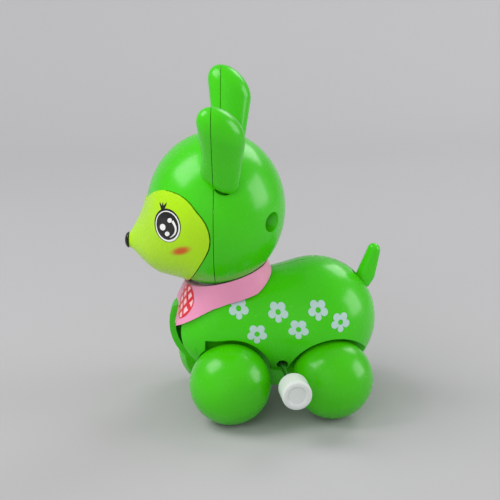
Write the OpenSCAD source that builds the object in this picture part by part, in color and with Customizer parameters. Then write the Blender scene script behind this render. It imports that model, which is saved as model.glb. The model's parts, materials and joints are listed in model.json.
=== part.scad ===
// Wind-up fawn on four ball wheels: clockwork motor, turning head, wagging tail.
// Millimetres. It faces -X and stands on Z = 0, and -Y is its left side.

/* [Wheels] */
// Radius of a ball wheel
wheel_r = 14.5; // [13:0.1:14.8]
// Distance between the front and rear axles
wheelbase = 37; // [36:0.5:39]
// Distance of a ball's centre from the middle plane
wheel_y = 19; // [18:0.5:21]
// Distance of a ball's flat inner face from the middle plane
wheel_flat_y = 12; // [11.8:0.1:13]
// Distance of the joint between ball and hub cap from the middle plane
wheel_split_y = 16; // [14.5:0.1:17.5]
// Wall of a ball
wheel_wall = 1.6; // [1.2:0.1:2.4]
// Outer radius of a wheel hub
hub_r = 3; // [2.4:0.1:4]
// Radius of both wheel axles
axle_r = 1.2; // [1:0.05:1.5]
// Distance of an axle's end from the middle plane
axle_end_y = 26; // [22:0.5:29]

/* [Body] */
// Radius of the chest end of the body
chest_r = 17.6; // [17:0.1:19]
// Place of the chest's centre along the body
chest_x = -20.5; // [-22:0.1:-19]
// Radius of the rump end of the body
rump_r = 22.5; // [22:0.1:24]
// Place of the rump's centre along the body
rump_x = 15; // [13.5:0.1:16]
// Place where the waist curve meets the rump
waist_x = 9; // [6:0.5:11]
// Height of the body's long axis
body_z = 31.75; // [31:0.05:33]
// Wall of the body shells
body_wall = 2.2; // [1.6:0.1:2.6]
// Gap between a wheel and its arch
arch_gap = 1.4; // [1:0.1:1.8]
// Wall that lines an arch
liner_wall = 1.4; // [1:0.1:1.8]
// Distance of an arch's side wall from the middle plane
pocket_y = 11; // [10.6:0.1:11.4]
// Thickness of an arch's side wall
pocket_wall = 1.5; // [1.2:0.1:1.6]
// Place of the square front corner of the front arches
corner_x = -27; // [-29:0.1:-26]
// Height of the square front corner of the front arches
corner_z = 30.2; // [29:0.1:30.2]
// Width of the open notch in the left side of the chest
notch_w = 10; // [8:0.1:10.4]
// How far back the chest notch reaches
notch_x = -25.5; // [-26:0.1:-25]
// Front and rear ends of the keel under the body
keel_front = -25; // [-26:0.1:-24]
keel_rear = 28; // [27:0.1:29]
// Depth of the belly's underside below the axles
belly_drop = 4.5; // [4.2:0.1:5]
// Thickness of the belly plate
belly_wall = 1.6; // [1.2:0.1:1.8]

/* [Neck and head] */
// Place of the neck ring
neck_x = -17.5; // [-18:0.1:-17]
// Height of the neck ring
neck_z = 52.3; // [52:0.1:53]
// Forward lean of the neck
neck_tilt = 15; // [12:0.5:18]
// Radius of the neck post
post_r = 6; // [5:0.1:6.5]
// Outer radius of the neck bush
bush_r = 8; // [7.5:0.1:8.5]
// How far the head is turned
head_turn = -10.5; // [-12:0.5:0]
// Half length, half width and half height of the head
head_half_x = 24.6; // [23:0.1:26]
head_half_y = 27.2; // [26:0.1:28]
head_half_z = 27.4; // [27:0.1:28]
// Wall of the head shells
head_wall = 2; // [1.6:0.1:2.4]
// Place of the seam between the head shells, from the head's centre
seam_x = 0.3; // [0.2:0.1:1]
// Half width of an ear
ear_half = 8; // [7:0.1:8.6]
// Half thickness of an ear
ear_thick = 6; // [5:0.1:6.4]
// Angle at which the ears narrow towards the head
ear_taper = 7.5; // [6:0.5:9]
// How much the ears' tips rise towards the front
ear_slope = 0.45; // [0.3:0.05:0.6]
// How far the ears lean out
ear_lean = 22; // [20:1:26]
// Distance of the ears' tips from the middle plane and above the head's centre
ear_tip_y = 35; // [33:0.5:36]
ear_tip_z = 43.5; // [42:0.5:45]
// Place of the ears' middle, from the head's centre
ear_x = 3.4; // [2:0.1:4]
// Thickness of the face mask
mask_wall = 1.6; // [1.2:0.1:1.8]
// How far the face mask stands proud of the head
mask_proud = 0.4; // [0.2:0.1:0.6]

/* [Collar] */
// Outer radius of the collar's top ring
collar_r = 15.4; // [15:0.1:16.5]
// Outer radius of the collar's lower edge at the sides and at the back
skirt_r = 15.2; // [15:0.1:16]
back_r = 15.8; // [15:0.1:17]
// Thickness of the collar
collar_wall = 1.2; // [1:0.1:1.4]
// Depth of the collar's point and of its sides, below the neck ring
point_depth = 13.8; // [13:0.1:16]
side_depth = 8.7; // [8:0.1:9.4]
// How far forward the collar's point reaches, from the neck's axis
point_reach = 23.3; // [22:0.1:24]
// Angle over which the point runs out into the sides
point_spread = 60; // [50:1:70]

/* [Motor] */
// Module of the gears
gear_m = 0.5; // [0.5:0.01:0.51]
// Place of the winding arbor, ahead of the rear axle and above it
key_ahead = 17.7; // [17.5:0.1:17.9]
key_rise = 5; // [4.8:0.1:5.3]
// Half width of the motor over its plates
motor_half = 8.7; // [8.5:0.1:8.9]
// Thickness of a motor plate
plate_wall = 1.2; // [1:0.1:1.3]
// Radius of the winding arbor
key_r = 1; // [0.8:0.05:1.1]
// Radius of the winding knob
knob_r = 5.2; // [4:0.1:6]
// Length of the winding knob
knob_len = 9.5; // [7:0.5:11]
// Distance of the knob's end from the middle plane
knob_end_y = 46; // [44:0.5:50]

/* [Tail] */
// Place and height of the tail pin
tail_x = 31.4; // [31:0.1:31.8]
tail_z = 40.6; // [40.2:0.1:41]
// Radius of the tail pin
tail_pin_r = 1; // [0.8:0.05:1.2]
// Radius of the tail's tip
tail_half = 2.35; // [2.2:0.05:2.6]
// Angle at which the tail widens towards its root
tail_flare = 3; // [1:0.5:4]
// Length of the tail from its pin to its tip
tail_len = 19.1; // [17:0.1:20]
// Backward lean of the tail
tail_lean = 19.5; // [17:0.5:22]

/* [Hidden] */
$fn = 64;
far = 60;
run_fit = 0.05;
fix_fit = 0.02;
seat_gap = 0.1;
seam_gap = 0.2;
move_gap = 0.4;
// Middle of the bounding box, from the middle of the wheelbase
origin_x = -6.7;
origin_y = -5.3;

front_axle = [-wheelbase / 2, wheel_r];
rear_axle = [wheelbase / 2, wheel_r];
arch_r = wheel_r + arch_gap;
pocket_in = pocket_y - pocket_wall;
belly_z = wheel_r - belly_drop;
floor_z = belly_z + belly_wall;
keel_rise = 6.5;
keel_top = wheel_r + keel_rise;
keel_end_top = floor_z + 4.4;

// Self-tapping screws that close the body, the belly and the head
screw_r = 1.2;
screw_head_r = 2.2;
screw_head_len = 1.5;
boss_r = 3.4;
body_screw_seat = 6;
body_screw_tip = -7;
body_screws_at = [[-11.8, 33], [6, 47.5], [33, 27]];
belly_screw_len = 7;
belly_screws_x = [-11.5, 25];
belly_screw_y = 6.6;
belly_boss_r = 2.6;

// Gear train, from the winding arbor to the rear axle and up to the escapement
great_teeth = 28;
idler_pinion_teeth = 10;
idler_teeth = 26;
axle_teeth = 12;
escape_pinion_teeth = 10;
escape_step = 8;
gear_tip = 0.9 * gear_m;
gear_root = 1.15 * gear_m;
key_at = rear_axle + [-key_ahead, key_rise];
key_to_idler = pitch_r(great_teeth) + pitch_r(idler_pinion_teeth);
idler_to_axle = pitch_r(idler_teeth) + pitch_r(axle_teeth);
key_to_axle = rear_axle - key_at;
span = norm(key_to_axle);
idler_along = (span * span + key_to_idler * key_to_idler - idler_to_axle * idler_to_axle) / (2 * span);
idler_aside = sqrt(key_to_idler * key_to_idler - idler_along * idler_along);
train_dir = key_to_axle / span;
idler_at = key_at + idler_along * train_dir + idler_aside * [-train_dir[1], train_dir[0]];
escape_angle = angle_to(idler_at, rear_axle) + escape_step * 360 / idler_teeth;
escape_at = idler_at + (pitch_r(idler_teeth) + pitch_r(escape_pinion_teeth)) * heading(escape_angle);
pallet_rise = 6.2;
pallet_at = escape_at + [0, pallet_rise];
arbor_r = 0.8;
gear_hub_r = 1.7;
great_y = [-6.9, -5.1];
second_y = [-4.5, -3];
star_y = [-2.2, -0.8];
spring_y = [0.8, 6.8];
cam_y = [-1.2, 1.2];
star_r = 3;
star_teeth = 12;
cam_r = 2.6;
cam_throw = 0.6;
pillar_r = 1.2;
motor_ahead = 26.3;
motor_behind = 3.7;
motor_rise = 24.1;
pillars_at = [for (place = [[-24.5, -1.2], [-24, 21], [1.7, 19]]) rear_axle + place];
motor_front = rear_axle[0] - motor_ahead;
motor_rear = rear_axle[0] + motor_behind;
motor_low = floor_z + move_gap;
motor_high = rear_axle[1] + motor_rise;
pads_at = [for (place = [[-24.5, 0.1], [-3.9, 9.5]]) rear_axle + place];
pad_r = 1.8;
spring_inner_r = 2.4;
spring_outer_r = 7.1;
spring_turns = 6;
spring_start = 220;
spring_wall = 0.3;

// Neck stack, measured along the neck from the neck ring
head_floor_s = -0.5;
flange_top_s = head_floor_s - move_gap;
flange_wall = 1.2;
seat_top_s = flange_top_s - flange_wall;
seat_wall = 1.2;
stub_top_s = seat_top_s - seat_wall;
stub_low_s = -9.6;
stub_r = 10.6;
flange_r = 11.4;
post_low_s = stub_low_s - 0.6;
retainer_wall = 1.6;
collar_top_s = head_floor_s - 0.3;
rim_depth = 8.6;
rim_x = -11;
rim_spread = 45;

// Head, measured from its centre
head_at = [-20.8, 74.5];
head_half = [head_half_x, head_half_y, head_half_z];
brow_circle = [-14, 1.6, 9.9];
cheek_circle = [-13.2, -3.3, 12.6];
chin_circle = [-17, -17, 10];
bridge_z = 2.5;
nose_x = -31.2;
nose_z = -12.4;
muzzle_slope = 0.49;
muzzle_droop = [[1, 0, 0, 0], [0, 1, 0, 0], [muzzle_slope, 0, 1, 0], [0, 0, 0, 1]];
muzzle_profile = [[-22, 22.4], [-15, 19], [-9.6, 15.4], [-6.7, 11.7], [-4.2, 7.8], [-1.8, 4.7], [0, 2.8]];
nose_r = 2.9;
nose_len = 1.6;
nose_stem_r = 1.2;
nose_stem_len = 4;
head_screw_y = 15.2;
head_screw_z = -0.2;
head_screw_len = 9;
recess_r = 3.5;
recess_floor = 11;
head_boss_r = 5;
front_boss_r = 3;
front_boss_len = 4;
arm_half = 1.4;
ear_root = 24;
ear_rake = [[1, 0, 0, 0], [0, 1, 0, 0], [-ear_slope, 0, 1, 0], [0, 0, 0, 1]];
boss_joint_x = 6;

// Tail lever inside the body
lever_lean = 26;
lever_len = 22;
lever_root = 1.6;
lever_half = 1.3;
tail_hub_half = 1.9;
tail_hub_r = 2.3;
tail_neck_half = 1.9;
tail_boss_r = 2.8;
tail_root = (tail_half + tail_len * sin(tail_flare)) / cos(tail_flare);
tail_slot_half = tail_root + move_gap;
tail_slot_front = 5.2;
tail_slot_rear = 4.6;
tail_pin_half = 9;
key_hole_gap = 1;
knob_bore_end = 2.5;
knob_edge = 1.2;
knob_dish = 0.6;
knob_dish_r = 2.8;
hub_step = 0.5;

green = "#56c432";
shade_green = "#43af1d";

function pitch_r(teeth) = teeth * gear_m / 2;
function heading(a) = [cos(a), sin(a)];
function angle_to(from, to) = atan2(to[1] - from[1], to[0] - from[0]);

// Points of a gear whose first tooth lies along +X
function gear_points(teeth) = [
    for (i = [0 : teeth - 1], corner = [[-0.28, -gear_root], [-0.11, gear_tip], [0.11, gear_tip], [0.28, -gear_root]])
        (pitch_r(teeth) + corner[1]) * heading((i + corner[0]) * 360 / teeth)
];

// Points of the body's outline, as radius and place along the body, set in by a wall
function arc_points(x, r, from, to, steps) = [
    for (i = [0 : steps]) let (a = from + (to - from) * i / steps) [r * sin(a), x - r * cos(a)]
];
function waist_end(inset) = sqrt(pow(rump_r - inset, 2) - pow(waist_x - rump_x, 2));
function waist_r(x, inset) =
    let (t = (x - chest_x) / (waist_x - chest_x), slope = (rump_x - waist_x) / waist_end(inset))
    (2 * t * t * t - 3 * t * t + 1) * (chest_r - inset) + (3 * t * t - 2 * t * t * t) * waist_end(inset)
        + (t * t * t - t * t) * (waist_x - chest_x) * slope;
function body_outline(inset) = concat(
    arc_points(chest_x, chest_r - inset, 0, 90, 9),
    [for (i = [1 : 7]) let (x = chest_x + (waist_x - chest_x) * i / 8) [waist_r(x, inset), x]],
    arc_points(rump_x, rump_r - inset, acos((rump_x - waist_x) / (rump_r - inset)), 180, 11)
);
function body_r(x) = x < chest_x ? sqrt(max(0, chest_r * chest_r - pow(x - chest_x, 2)))
    : x < waist_x ? waist_r(x, 0) : sqrt(max(0, rump_r * rump_r - pow(x - rump_x, 2)));

// Places on the collar, by the angle from the front and the distance along the neck
chest_in_neck = [
    (chest_x - neck_x) * cos(neck_tilt) + (body_z - neck_z) * sin(neck_tilt),
    (body_z - neck_z) * cos(neck_tilt) - (chest_x - neck_x) * sin(neck_tilt)
];
skirt_rows = 4;
skirt_steps = 48;
function mix(a, b, t) = a + (b - a) * t;
function above_body(rho, phi, s) =
    let (x = neck_x - rho * cos(phi) * cos(neck_tilt) - s * sin(neck_tilt),
         z = neck_z - rho * cos(phi) * sin(neck_tilt) + s * cos(neck_tilt))
    norm([rho * sin(phi), z - body_z]) - body_r(x);
function resting_s(rho, phi, low, high, turns) =
    let (mid = (low + high) / 2)
    turns == 0 ? high
        : above_body(rho, phi, mid) > move_gap ? resting_s(rho, phi, low, mid, turns - 1)
        : resting_s(rho, phi, mid, high, turns - 1);
function over_chest(phi, s) = collar_wall + move_gap - chest_in_neck[0] * cos(phi)
    + sqrt(max(0, chest_r * chest_r - pow(s - chest_in_neck[1], 2) - pow(chest_in_neck[0] * sin(phi), 2)));

// The point hangs over the notch in the left side of the chest; the right side stays above the rim
function hang_s(phi) = phi > -1 ? move_gap - rim_depth
    : -mix(side_depth, point_depth, pow(cos(min(90, abs(phi) * 90 / point_spread)), 1.4));
function front_rho(phi, s) =
    mix(collar_r, point_reach, (collar_top_s - s) / (collar_top_s + point_depth)) / cos(phi);
function side_rho(phi) = mix(skirt_r, back_r, min(1, (abs(phi) - 90) / 60));
function low_s(phi) = abs(phi) < 90 ? hang_s(phi)
    : max(hang_s(phi), resting_s(side_rho(phi) - collar_wall, phi, hang_s(phi), stub_top_s, 16));
function low_rho(phi) = abs(phi) >= 90 ? side_rho(phi)
    : max(skirt_r, min(over_chest(phi, low_s(phi)), front_rho(phi, low_s(phi))));
function row_s(phi, row) = mix(collar_top_s, low_s(phi), row / skirt_rows);
function over_shell(phi, rho) = abs(phi) < 90 && (phi > rim_spread || rho * sin(-phi) > notch_w - collar_wall);
function row_rho(phi, row) =
    let (rho = mix(collar_r, low_rho(phi), row / skirt_rows))
    row > 0 && over_shell(phi, rho) ? max(rho, over_chest(phi, row_s(phi, row))) : rho;
function skirt_ring(row, inset) = [
    for (i = [0 : skirt_steps - 1])
        let (phi = -180 + 360 * i / skirt_steps, rho = row_rho(phi, row) - inset)
        [-rho * cos(phi), rho * sin(phi), row_s(phi, row)]
];

// Frames and simple solids
module to_frame() translate([-origin_x, -origin_y, 0]) children();
module in_neck() translate([neck_x, 0, neck_z]) rotate([0, -neck_tilt, 0]) children();
module turned_neck() in_neck() rotate([0, 0, head_turn]) children();
module head_frame() rotate([0, neck_tilt, 0]) translate([head_at[0] - neck_x, 0, head_at[1] - neck_z]) children();
module block(x, y, z) translate([x[0], y[0], z[0]]) cube([x[1] - x[0], y[1] - y[0], z[1] - z[0]]);
module slab(at, y) translate([at[0], y[1], at[1]]) rotate([90, 0, 0]) linear_extrude(y[1] - y[0]) children();
module rod(at, r, y) translate([at[0], y[1], at[1]]) rotate([90, 0, 0]) cylinder(r = r, h = y[1] - y[0]);
module rod_x(y, z, r, x) translate([x[0], y, z]) rotate([0, 90, 0]) cylinder(r = r, h = x[1] - x[0]);
module rod_s(r, s) translate([0, 0, s[0]]) cylinder(r = r, h = s[1] - s[0]);
function on_side(side, near, reach) = side < 0 ? [-reach, -near] : [near, reach];

// Round-ended finger along +Z, its tip of radius r at z = 0, narrowing downwards by the taper angle
module finger(r, taper, len) rotate_extrude() polygon(concat(
    [[0, -len], [(r - (len - r) * sin(taper)) / cos(taper), -len]],
    [for (i = [0 : 9]) let (turn = mix(-taper, 90, i / 9)) [r * cos(turn), r * sin(turn) - r]]
));

// Cross-head screw along +Z, its head below z = 0
module screw(len) {
    cross_half = 0.3;
    slot_reach = 1.5;
    slot_deep = 0.7;
    difference() {
        union() {
            cylinder(r = screw_r, h = len);
            translate([0, 0, -screw_head_len]) cylinder(r = screw_head_r, h = screw_head_len);
        }
        for (turn = [0, 90]) rotate([0, 0, turn])
            block([-slot_reach, slot_reach], [-cross_half, cross_half],
                [-screw_head_len - 1, -screw_head_len + slot_deep]);
    }
}

// Body shells
module body_form(inset)
    translate([0, 0, body_z]) rotate([0, 90, 0]) rotate_extrude() polygon(body_outline(inset));
module arch_space(side, near, grow) {
    for (at = [front_axle, rear_axle]) rod(at, arch_r + grow, on_side(side, near, far));
    block([corner_x - grow, front_axle[0]], on_side(side, near, far), [wheel_r, corner_z + grow]);
}
module keel_walls() {
    for (side = [-1, 1])
        block([keel_front, keel_rear], on_side(side, pocket_in, pocket_y), [floor_z, keel_top]);
    for (x = [keel_front, keel_rear - pocket_wall])
        block([x, x + pocket_wall], [-pocket_y, pocket_y], [floor_z, keel_end_top]);
}
module body_cavity() difference() {
    union() {
        body_form(body_wall);
        block([keel_front + pocket_wall, keel_rear - pocket_wall], [-pocket_in, pocket_in], [0, keel_end_top]);
        block([motor_front - move_gap, motor_rear + move_gap], [-pocket_in, pocket_in], [0, body_z]);
    }
    for (side = [-1, 1]) arch_space(side, pocket_in, liner_wall);
    block([keel_front, keel_rear], on_side(-1, pocket_in, pocket_y), [0, keel_top]);
    block([keel_front, keel_rear], on_side(1, pocket_in, pocket_y), [0, keel_top]);
}
module body_bosses() {
    intersection() {
        body_form(body_wall / 2);
        union() {
            for (at = body_screws_at) rod(at, boss_r, [-far, 0]);
            rod([tail_x, tail_z], tail_boss_r, [-far, -tail_hub_half - run_fit]);
        }
    }
    for (at = pads_at) rod(at, pad_r, [-pocket_in - run_fit, -motor_half - fix_fit]);
    for (x = belly_screws_x) intersection() {
        translate([x, -belly_screw_y, floor_z]) cylinder(r = belly_boss_r, h = belly_screw_len + 1);
        block([-far, far], [-pocket_y, 0], [0, far]);
    }
}
module tail_slot() {
    hub_half = tail_hub_half + run_fit;
    rod([tail_x, tail_z], tail_hub_r + move_gap, [-hub_half, hub_half]);
    translate([tail_x, 0, tail_z]) rotate([0, tail_lean, 0]) {
        block([-tail_slot_front, tail_slot_rear], [-hub_half, hub_half], [0, tail_len]);
        block([-tail_slot_front, tail_slot_rear], [-tail_slot_half, tail_slot_half], [tail_hub_r, tail_len]);
    }
}
module body_bores() {
    for (at = [front_axle, rear_axle]) rod(at, axle_r + run_fit, [-far, far]);
    rod([tail_x, tail_z], tail_pin_r + fix_fit, [-tail_pin_half - fix_fit, 1]);
    for (x = belly_screws_x)
        translate([x, -belly_screw_y, 0]) cylinder(r = screw_r + fix_fit, h = floor_z + belly_screw_len);
}

// Left half of the body, before its screw holes
module body_half() intersection() {
    block([-far, far], [-far, 0], [-far, 3 * far]);
    difference() {
        union() {
            difference() {
                union() {
                    body_form(0);
                    keel_walls();
                }
                body_cavity();
                in_neck() block([-far, rim_x], [-far, far], [-rim_depth, far]);
            }
            body_bosses();
            in_neck() rod_s(stub_r, [stub_low_s, stub_top_s]);
        }
        arch_space(-1, pocket_y, 0);
        block([-far, far], [-far, far], [-far, floor_z]);
        in_neck() rod_s(bush_r + fix_fit, [-far / 2, far]);
        in_neck() rod_s(collar_r, [stub_top_s, far]);
        tail_slot();
        body_bores();
    }
}
module body_left_shell() color(green) difference() {
    body_half();
    for (at = body_screws_at) rod(at, screw_r + fix_fit, [body_screw_tip - seat_gap, 1]);
    rod(key_at, key_r + key_hole_gap, [-far, 0]);
    block([-far, notch_x], [-notch_w, 1], [0, far]);
}
module body_right_shell() color(green) difference() {
    mirror([0, 1, 0]) body_half();
    for (at = body_screws_at) {
        rod(at, screw_r + fix_fit, [-1, far]);
        rod(at, screw_head_r + seat_gap, [body_screw_seat, far]);
    }
}
module belly_plate() color(shade_green) difference() {
    block([keel_front, keel_rear], [-pocket_y, pocket_y], [belly_z, floor_z]);
    rod(rear_axle, pitch_r(axle_teeth) + gear_tip + move_gap, [second_y[0] - move_gap, cam_y[1] + move_gap]);
    for (x = belly_screws_x, side = [-1, 1]) translate([x, side * belly_screw_y, belly_z]) {
        translate([0, 0, -1]) cylinder(r = screw_r + fix_fit, h = far);
        translate([0, 0, -1]) cylinder(r = screw_head_r + seat_gap, h = 1 + belly_wall / 2);
    }
}
module body_screws() color("silver") for (at = body_screws_at)
    translate([at[0], body_screw_seat, at[1]]) rotate([90, 0, 0]) screw(body_screw_seat - body_screw_tip);
module belly_screws() color("silver") for (x = belly_screws_x, side = [-1, 1])
    translate([x, side * belly_screw_y, belly_z + belly_wall / 2]) intersection() {
        screw(belly_screw_len);
        translate([0, 0, -belly_wall / 2]) cylinder(r = far, h = far);
    }

// Collar and neck
module collar_scarf() color("#e39ab6") in_neck() {
    rings = concat(
        [for (row = [0 : skirt_rows]) skirt_ring(row, 0)],
        [for (row = [skirt_rows : -1 : 0]) skirt_ring(row, collar_wall)]
    );
    count = len(rings);
    union() {
        polyhedron(
            points = [for (ring = rings) each ring],
            faces = [
                for (r = [0 : count - 1], i = [0 : skirt_steps - 1], half = [0, 1])
                    let (a = r * skirt_steps + i, b = r * skirt_steps + (i + 1) % skirt_steps,
                         c = ((r + 1) % count) * skirt_steps + i,
                         d = ((r + 1) % count) * skirt_steps + (i + 1) % skirt_steps)
                    half == 0 ? [a, d, b] : [a, c, d]
            ]
        );
        difference() {
            rod_s(collar_r - collar_wall / 2, [stub_top_s, seat_top_s]);
            rod_s(bush_r + fix_fit, [-far, far]);
        }
    }
}
module neck_bush() color("white") in_neck() difference() {
    union() {
        rod_s(bush_r, [stub_low_s, seat_top_s]);
        rod_s(flange_r, [seat_top_s, flange_top_s]);
    }
    rod_s(post_r + run_fit, [-far, far]);
}
module neck_post() color("white") turned_neck() difference() {
    union() {
        rod_s(post_r, [post_low_s, head_floor_s + head_wall]);
        rod_s(flange_r, [head_floor_s + head_wall, head_floor_s + 2 * head_wall]);
    }
    rod_s(screw_r + fix_fit, [-far, post_low_s + belly_screw_len]);
}
module neck_retainer() color("silver") turned_neck() difference() {
    rod_s(bush_r, [post_low_s - retainer_wall, post_low_s]);
    rod_s(screw_r + fix_fit, [-far, far]);
}
module neck_screw() color("silver") turned_neck()
    translate([0, 0, post_low_s - retainer_wall]) screw(belly_screw_len);

// Motor
module motor_plate(side) color("gainsboro") difference() {
    y = on_side(side, motor_half - plate_wall, motor_half);
    corner = 4;
    slab([0, 0], y) polygon([
        [motor_front, motor_low], [motor_rear, motor_low], [motor_rear, motor_high - corner],
        [motor_rear - corner, motor_high], [motor_front + corner, motor_high], [motor_front, motor_high - corner]
    ]);
    rod(key_at, key_r + run_fit, [-far, far]);
    rod(rear_axle, axle_r + run_fit, [-far, far]);
    for (at = [idler_at, escape_at, pallet_at]) rod(at, arbor_r + run_fit, [-far, far]);
}
module motor_left_plate() motor_plate(-1);
module motor_right_plate() motor_plate(1);
module motor_pillars() color("silver") for (at = pillars_at)
    rod(at, pillar_r, [plate_wall - motor_half, motor_half - plate_wall]);
function spring_point(t, side) =
    (mix(spring_inner_r, spring_outer_r, t) + side * spring_wall / 2) * heading(spring_turns * 360 * t + spring_start);
module mainspring() color("slategray") slab(key_at, spring_y) {
    steps = spring_turns * 24;
    polygon(concat(
        [for (i = [0 : steps]) spring_point(i / steps, 1)],
        [for (i = [steps : -1 : 0]) spring_point(i / steps, -1)]
    ));
}
module arbor(at) rod(at, arbor_r, [-motor_half, motor_half]);
module gear(at, teeth, y, turn) slab(at, y) rotate(turn) polygon(gear_points(teeth));
function meeting_turn(from, to, teeth) = angle_to(to, from) + 180 / teeth;
module winding_arbor() color("silver") rod(key_at, key_r, [knob_bore_end - knob_end_y, motor_half]);
module winding_knob() color("whitesmoke") translate([key_at[0], -knob_end_y, key_at[1]]) rotate([-90, 0, 0])
    difference() {
        rotate_extrude() polygon([
            [0, knob_dish], [knob_dish_r, knob_dish], [knob_dish_r + knob_dish / 2, 0], [knob_r - knob_edge, 0],
            [knob_r - knob_edge * 0.3, knob_edge * 0.3], [knob_r, knob_edge], [knob_r, knob_len - knob_edge],
            [knob_r - knob_edge, knob_len], [0, knob_len]
        ]);
        translate([0, 0, knob_bore_end]) cylinder(r = key_r + fix_fit, h = far);
    }
module great_wheel() color("gold") difference() {
    gear(key_at, great_teeth, great_y, angle_to(key_at, idler_at));
    rod(key_at, key_r + fix_fit, [-far, far]);
}
module idler_gear() color("gold") {
    arbor(idler_at);
    gear(idler_at, idler_pinion_teeth, [great_y[0], second_y[0]], meeting_turn(key_at, idler_at, idler_pinion_teeth));
    gear(idler_at, idler_teeth, second_y, angle_to(idler_at, rear_axle));
}
module escape_wheel() color("gold") {
    arbor(escape_at);
    gear(escape_at, escape_pinion_teeth, second_y, meeting_turn(idler_at, escape_at, escape_pinion_teeth));
    rod(escape_at, gear_hub_r, [second_y[1], star_y[0]]);
    slab(escape_at, star_y) polygon([
        for (i = [0 : star_teeth - 1], tip = [0, 1])
            (tip == 1 ? star_r : star_r * 0.66) * heading((i + tip * 0.35) * 360 / star_teeth)
    ]);
}
module pallet() color("gold") {
    arm_half = 0.7;
    arm_reach = 3.3;
    claw_drop = 3.4;
    claw_r = 0.5;
    arbor(pallet_at);
    rod(pallet_at, gear_hub_r, star_y);
    slab(pallet_at, star_y) translate([-arm_reach, -arm_half]) square([2 * arm_reach, 2 * arm_half]);
    for (side = [-1, 1]) {
        slab(pallet_at, star_y) translate([side * arm_reach - claw_r, -claw_drop]) square([2 * claw_r, claw_drop]);
        rod(pallet_at + [side * arm_reach, -claw_drop], claw_r, star_y);
    }
}

// Wheels and axles
module axle_rod(at) color("silver") rod(at, axle_r, [-axle_end_y, axle_end_y]);
module rear_axle_rod() axle_rod(rear_axle);
module front_axle_rod() axle_rod(front_axle);
module axle_pinion() color("gold") difference() {
    gear(rear_axle, axle_teeth, second_y, meeting_turn(idler_at, rear_axle, axle_teeth));
    rod(rear_axle, axle_r + fix_fit, [-far, far]);
}
module tail_cam() color("white") difference() {
    rod(rear_axle + [0, cam_throw], cam_r, cam_y);
    rod(rear_axle, axle_r + fix_fit, [-far, far]);
}
module ball(at, side, inset) translate([at[0], side * wheel_y, at[1]]) rotate([90, 0, 0]) sphere(r = wheel_r - inset);
module ball_wheel(at, side) color(shade_green) difference() {
    union() {
        difference() {
            intersection() {
                ball(at, side, 0);
                block([-far, far], on_side(side, wheel_split_y, far), [-far, far]);
            }
            ball(at, side, wheel_wall);
        }
        rod(at, hub_r, on_side(side, wheel_flat_y + hub_step, wheel_y + wheel_r - 2 * wheel_wall / 3));
    }
    rod(at, axle_r + fix_fit, on_side(side, 0, axle_end_y + seat_gap));
}
module hub_cap(at, side) color(shade_green) difference() {
    intersection() {
        ball(at, side, 0);
        block([-far, far], on_side(side, wheel_flat_y, wheel_split_y), [-far, far]);
    }
    intersection() {
        ball(at, side, wheel_wall);
        block([-far, far], on_side(side, wheel_flat_y + wheel_wall, far), [-far, far]);
    }
    rod(at, hub_r + seat_gap, [-far, far]);
}
module rear_left_wheel() ball_wheel(rear_axle, -1);
module rear_left_hub_cap() hub_cap(rear_axle, -1);
module rear_right_wheel() ball_wheel(rear_axle, 1);
module rear_right_hub_cap() hub_cap(rear_axle, 1);
module front_left_wheel() ball_wheel(front_axle, -1);
module front_left_hub_cap() hub_cap(front_axle, -1);
module front_right_wheel() ball_wheel(front_axle, 1);
module front_right_hub_cap() hub_cap(front_axle, 1);

// Head
module head_form(grow) scale([head_half[0] + grow, head_half[1] + grow, head_half[2] + grow])
    rotate([0, 90, 0]) sphere(r = 1);
module ear(side, inset) translate([ear_x, side * ear_tip_y, ear_tip_z]) rotate([-side * ear_lean, 0, 0])
    multmatrix(ear_rake) scale([1, (ear_thick - inset) / (ear_half - inset), 1])
    translate([0, 0, -inset]) finger(ear_half - inset, ear_taper, ear_root + ear_half);
module face_outline(grow) hull() for (ring = [brow_circle, cheek_circle, chin_circle])
    translate([ring[0], ring[1]]) circle(r = ring[2] + grow);
module face_area(grow) {
    slab([0, 0], [-far, far]) face_outline(grow);
    block([-far, mask_proud + grow - head_half_x], [-far, far], [-far, bridge_z + grow]);
}
module muzzle(inset) translate([nose_x, 0, nose_z]) multmatrix(muzzle_droop) rotate([0, -90, 0])
    rotate_extrude() polygon(concat(
        [[0, muzzle_profile[0][0] - inset]],
        [for (p = muzzle_profile) [p[1] - inset, p[0] - inset]],
        [[0, -inset]]
    ));
module before_seam(grow) block([-2 * far, seam_x + grow], [-far, far], [-far, 2 * far]);
module below_neck() rod_s(far, [-2 * far, head_floor_s]);
module head_hollow() intersection() {
    rod_s(far, [head_floor_s + head_wall, 3 * far]);
    head_frame() {
        head_form(-head_wall);
        for (side = [-1, 1]) ear(side, head_wall);
    }
}
module head_skin() difference() {
    head_frame() {
        head_form(0);
        for (side = [-1, 1]) ear(side, 0);
    }
    head_hollow();
    below_neck();
    rod_s(post_r + fix_fit, [-far, head_floor_s + 2 * head_wall]);
}
module head_front_shell() color(green) turned_neck() difference() {
    union() {
        difference() {
            intersection() {
                head_skin();
                head_frame() before_seam(0);
            }
            head_frame() face_area(seat_gap);
        }
        head_frame() for (side = [-1, 1]) {
            rod_x(side * head_screw_y, head_screw_z, front_boss_r, [seam_x - front_boss_len, boss_joint_x]);
            block([seam_x - arm_half, seam_x], on_side(side, head_screw_y, head_half_y - head_wall),
                [head_screw_z - arm_half, head_screw_z + arm_half]);
        }
    }
    head_frame() for (side = [-1, 1]) rod_x(side * head_screw_y, head_screw_z, screw_r + fix_fit,
        [recess_floor - head_screw_len - seat_gap, far]);
}
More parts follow.
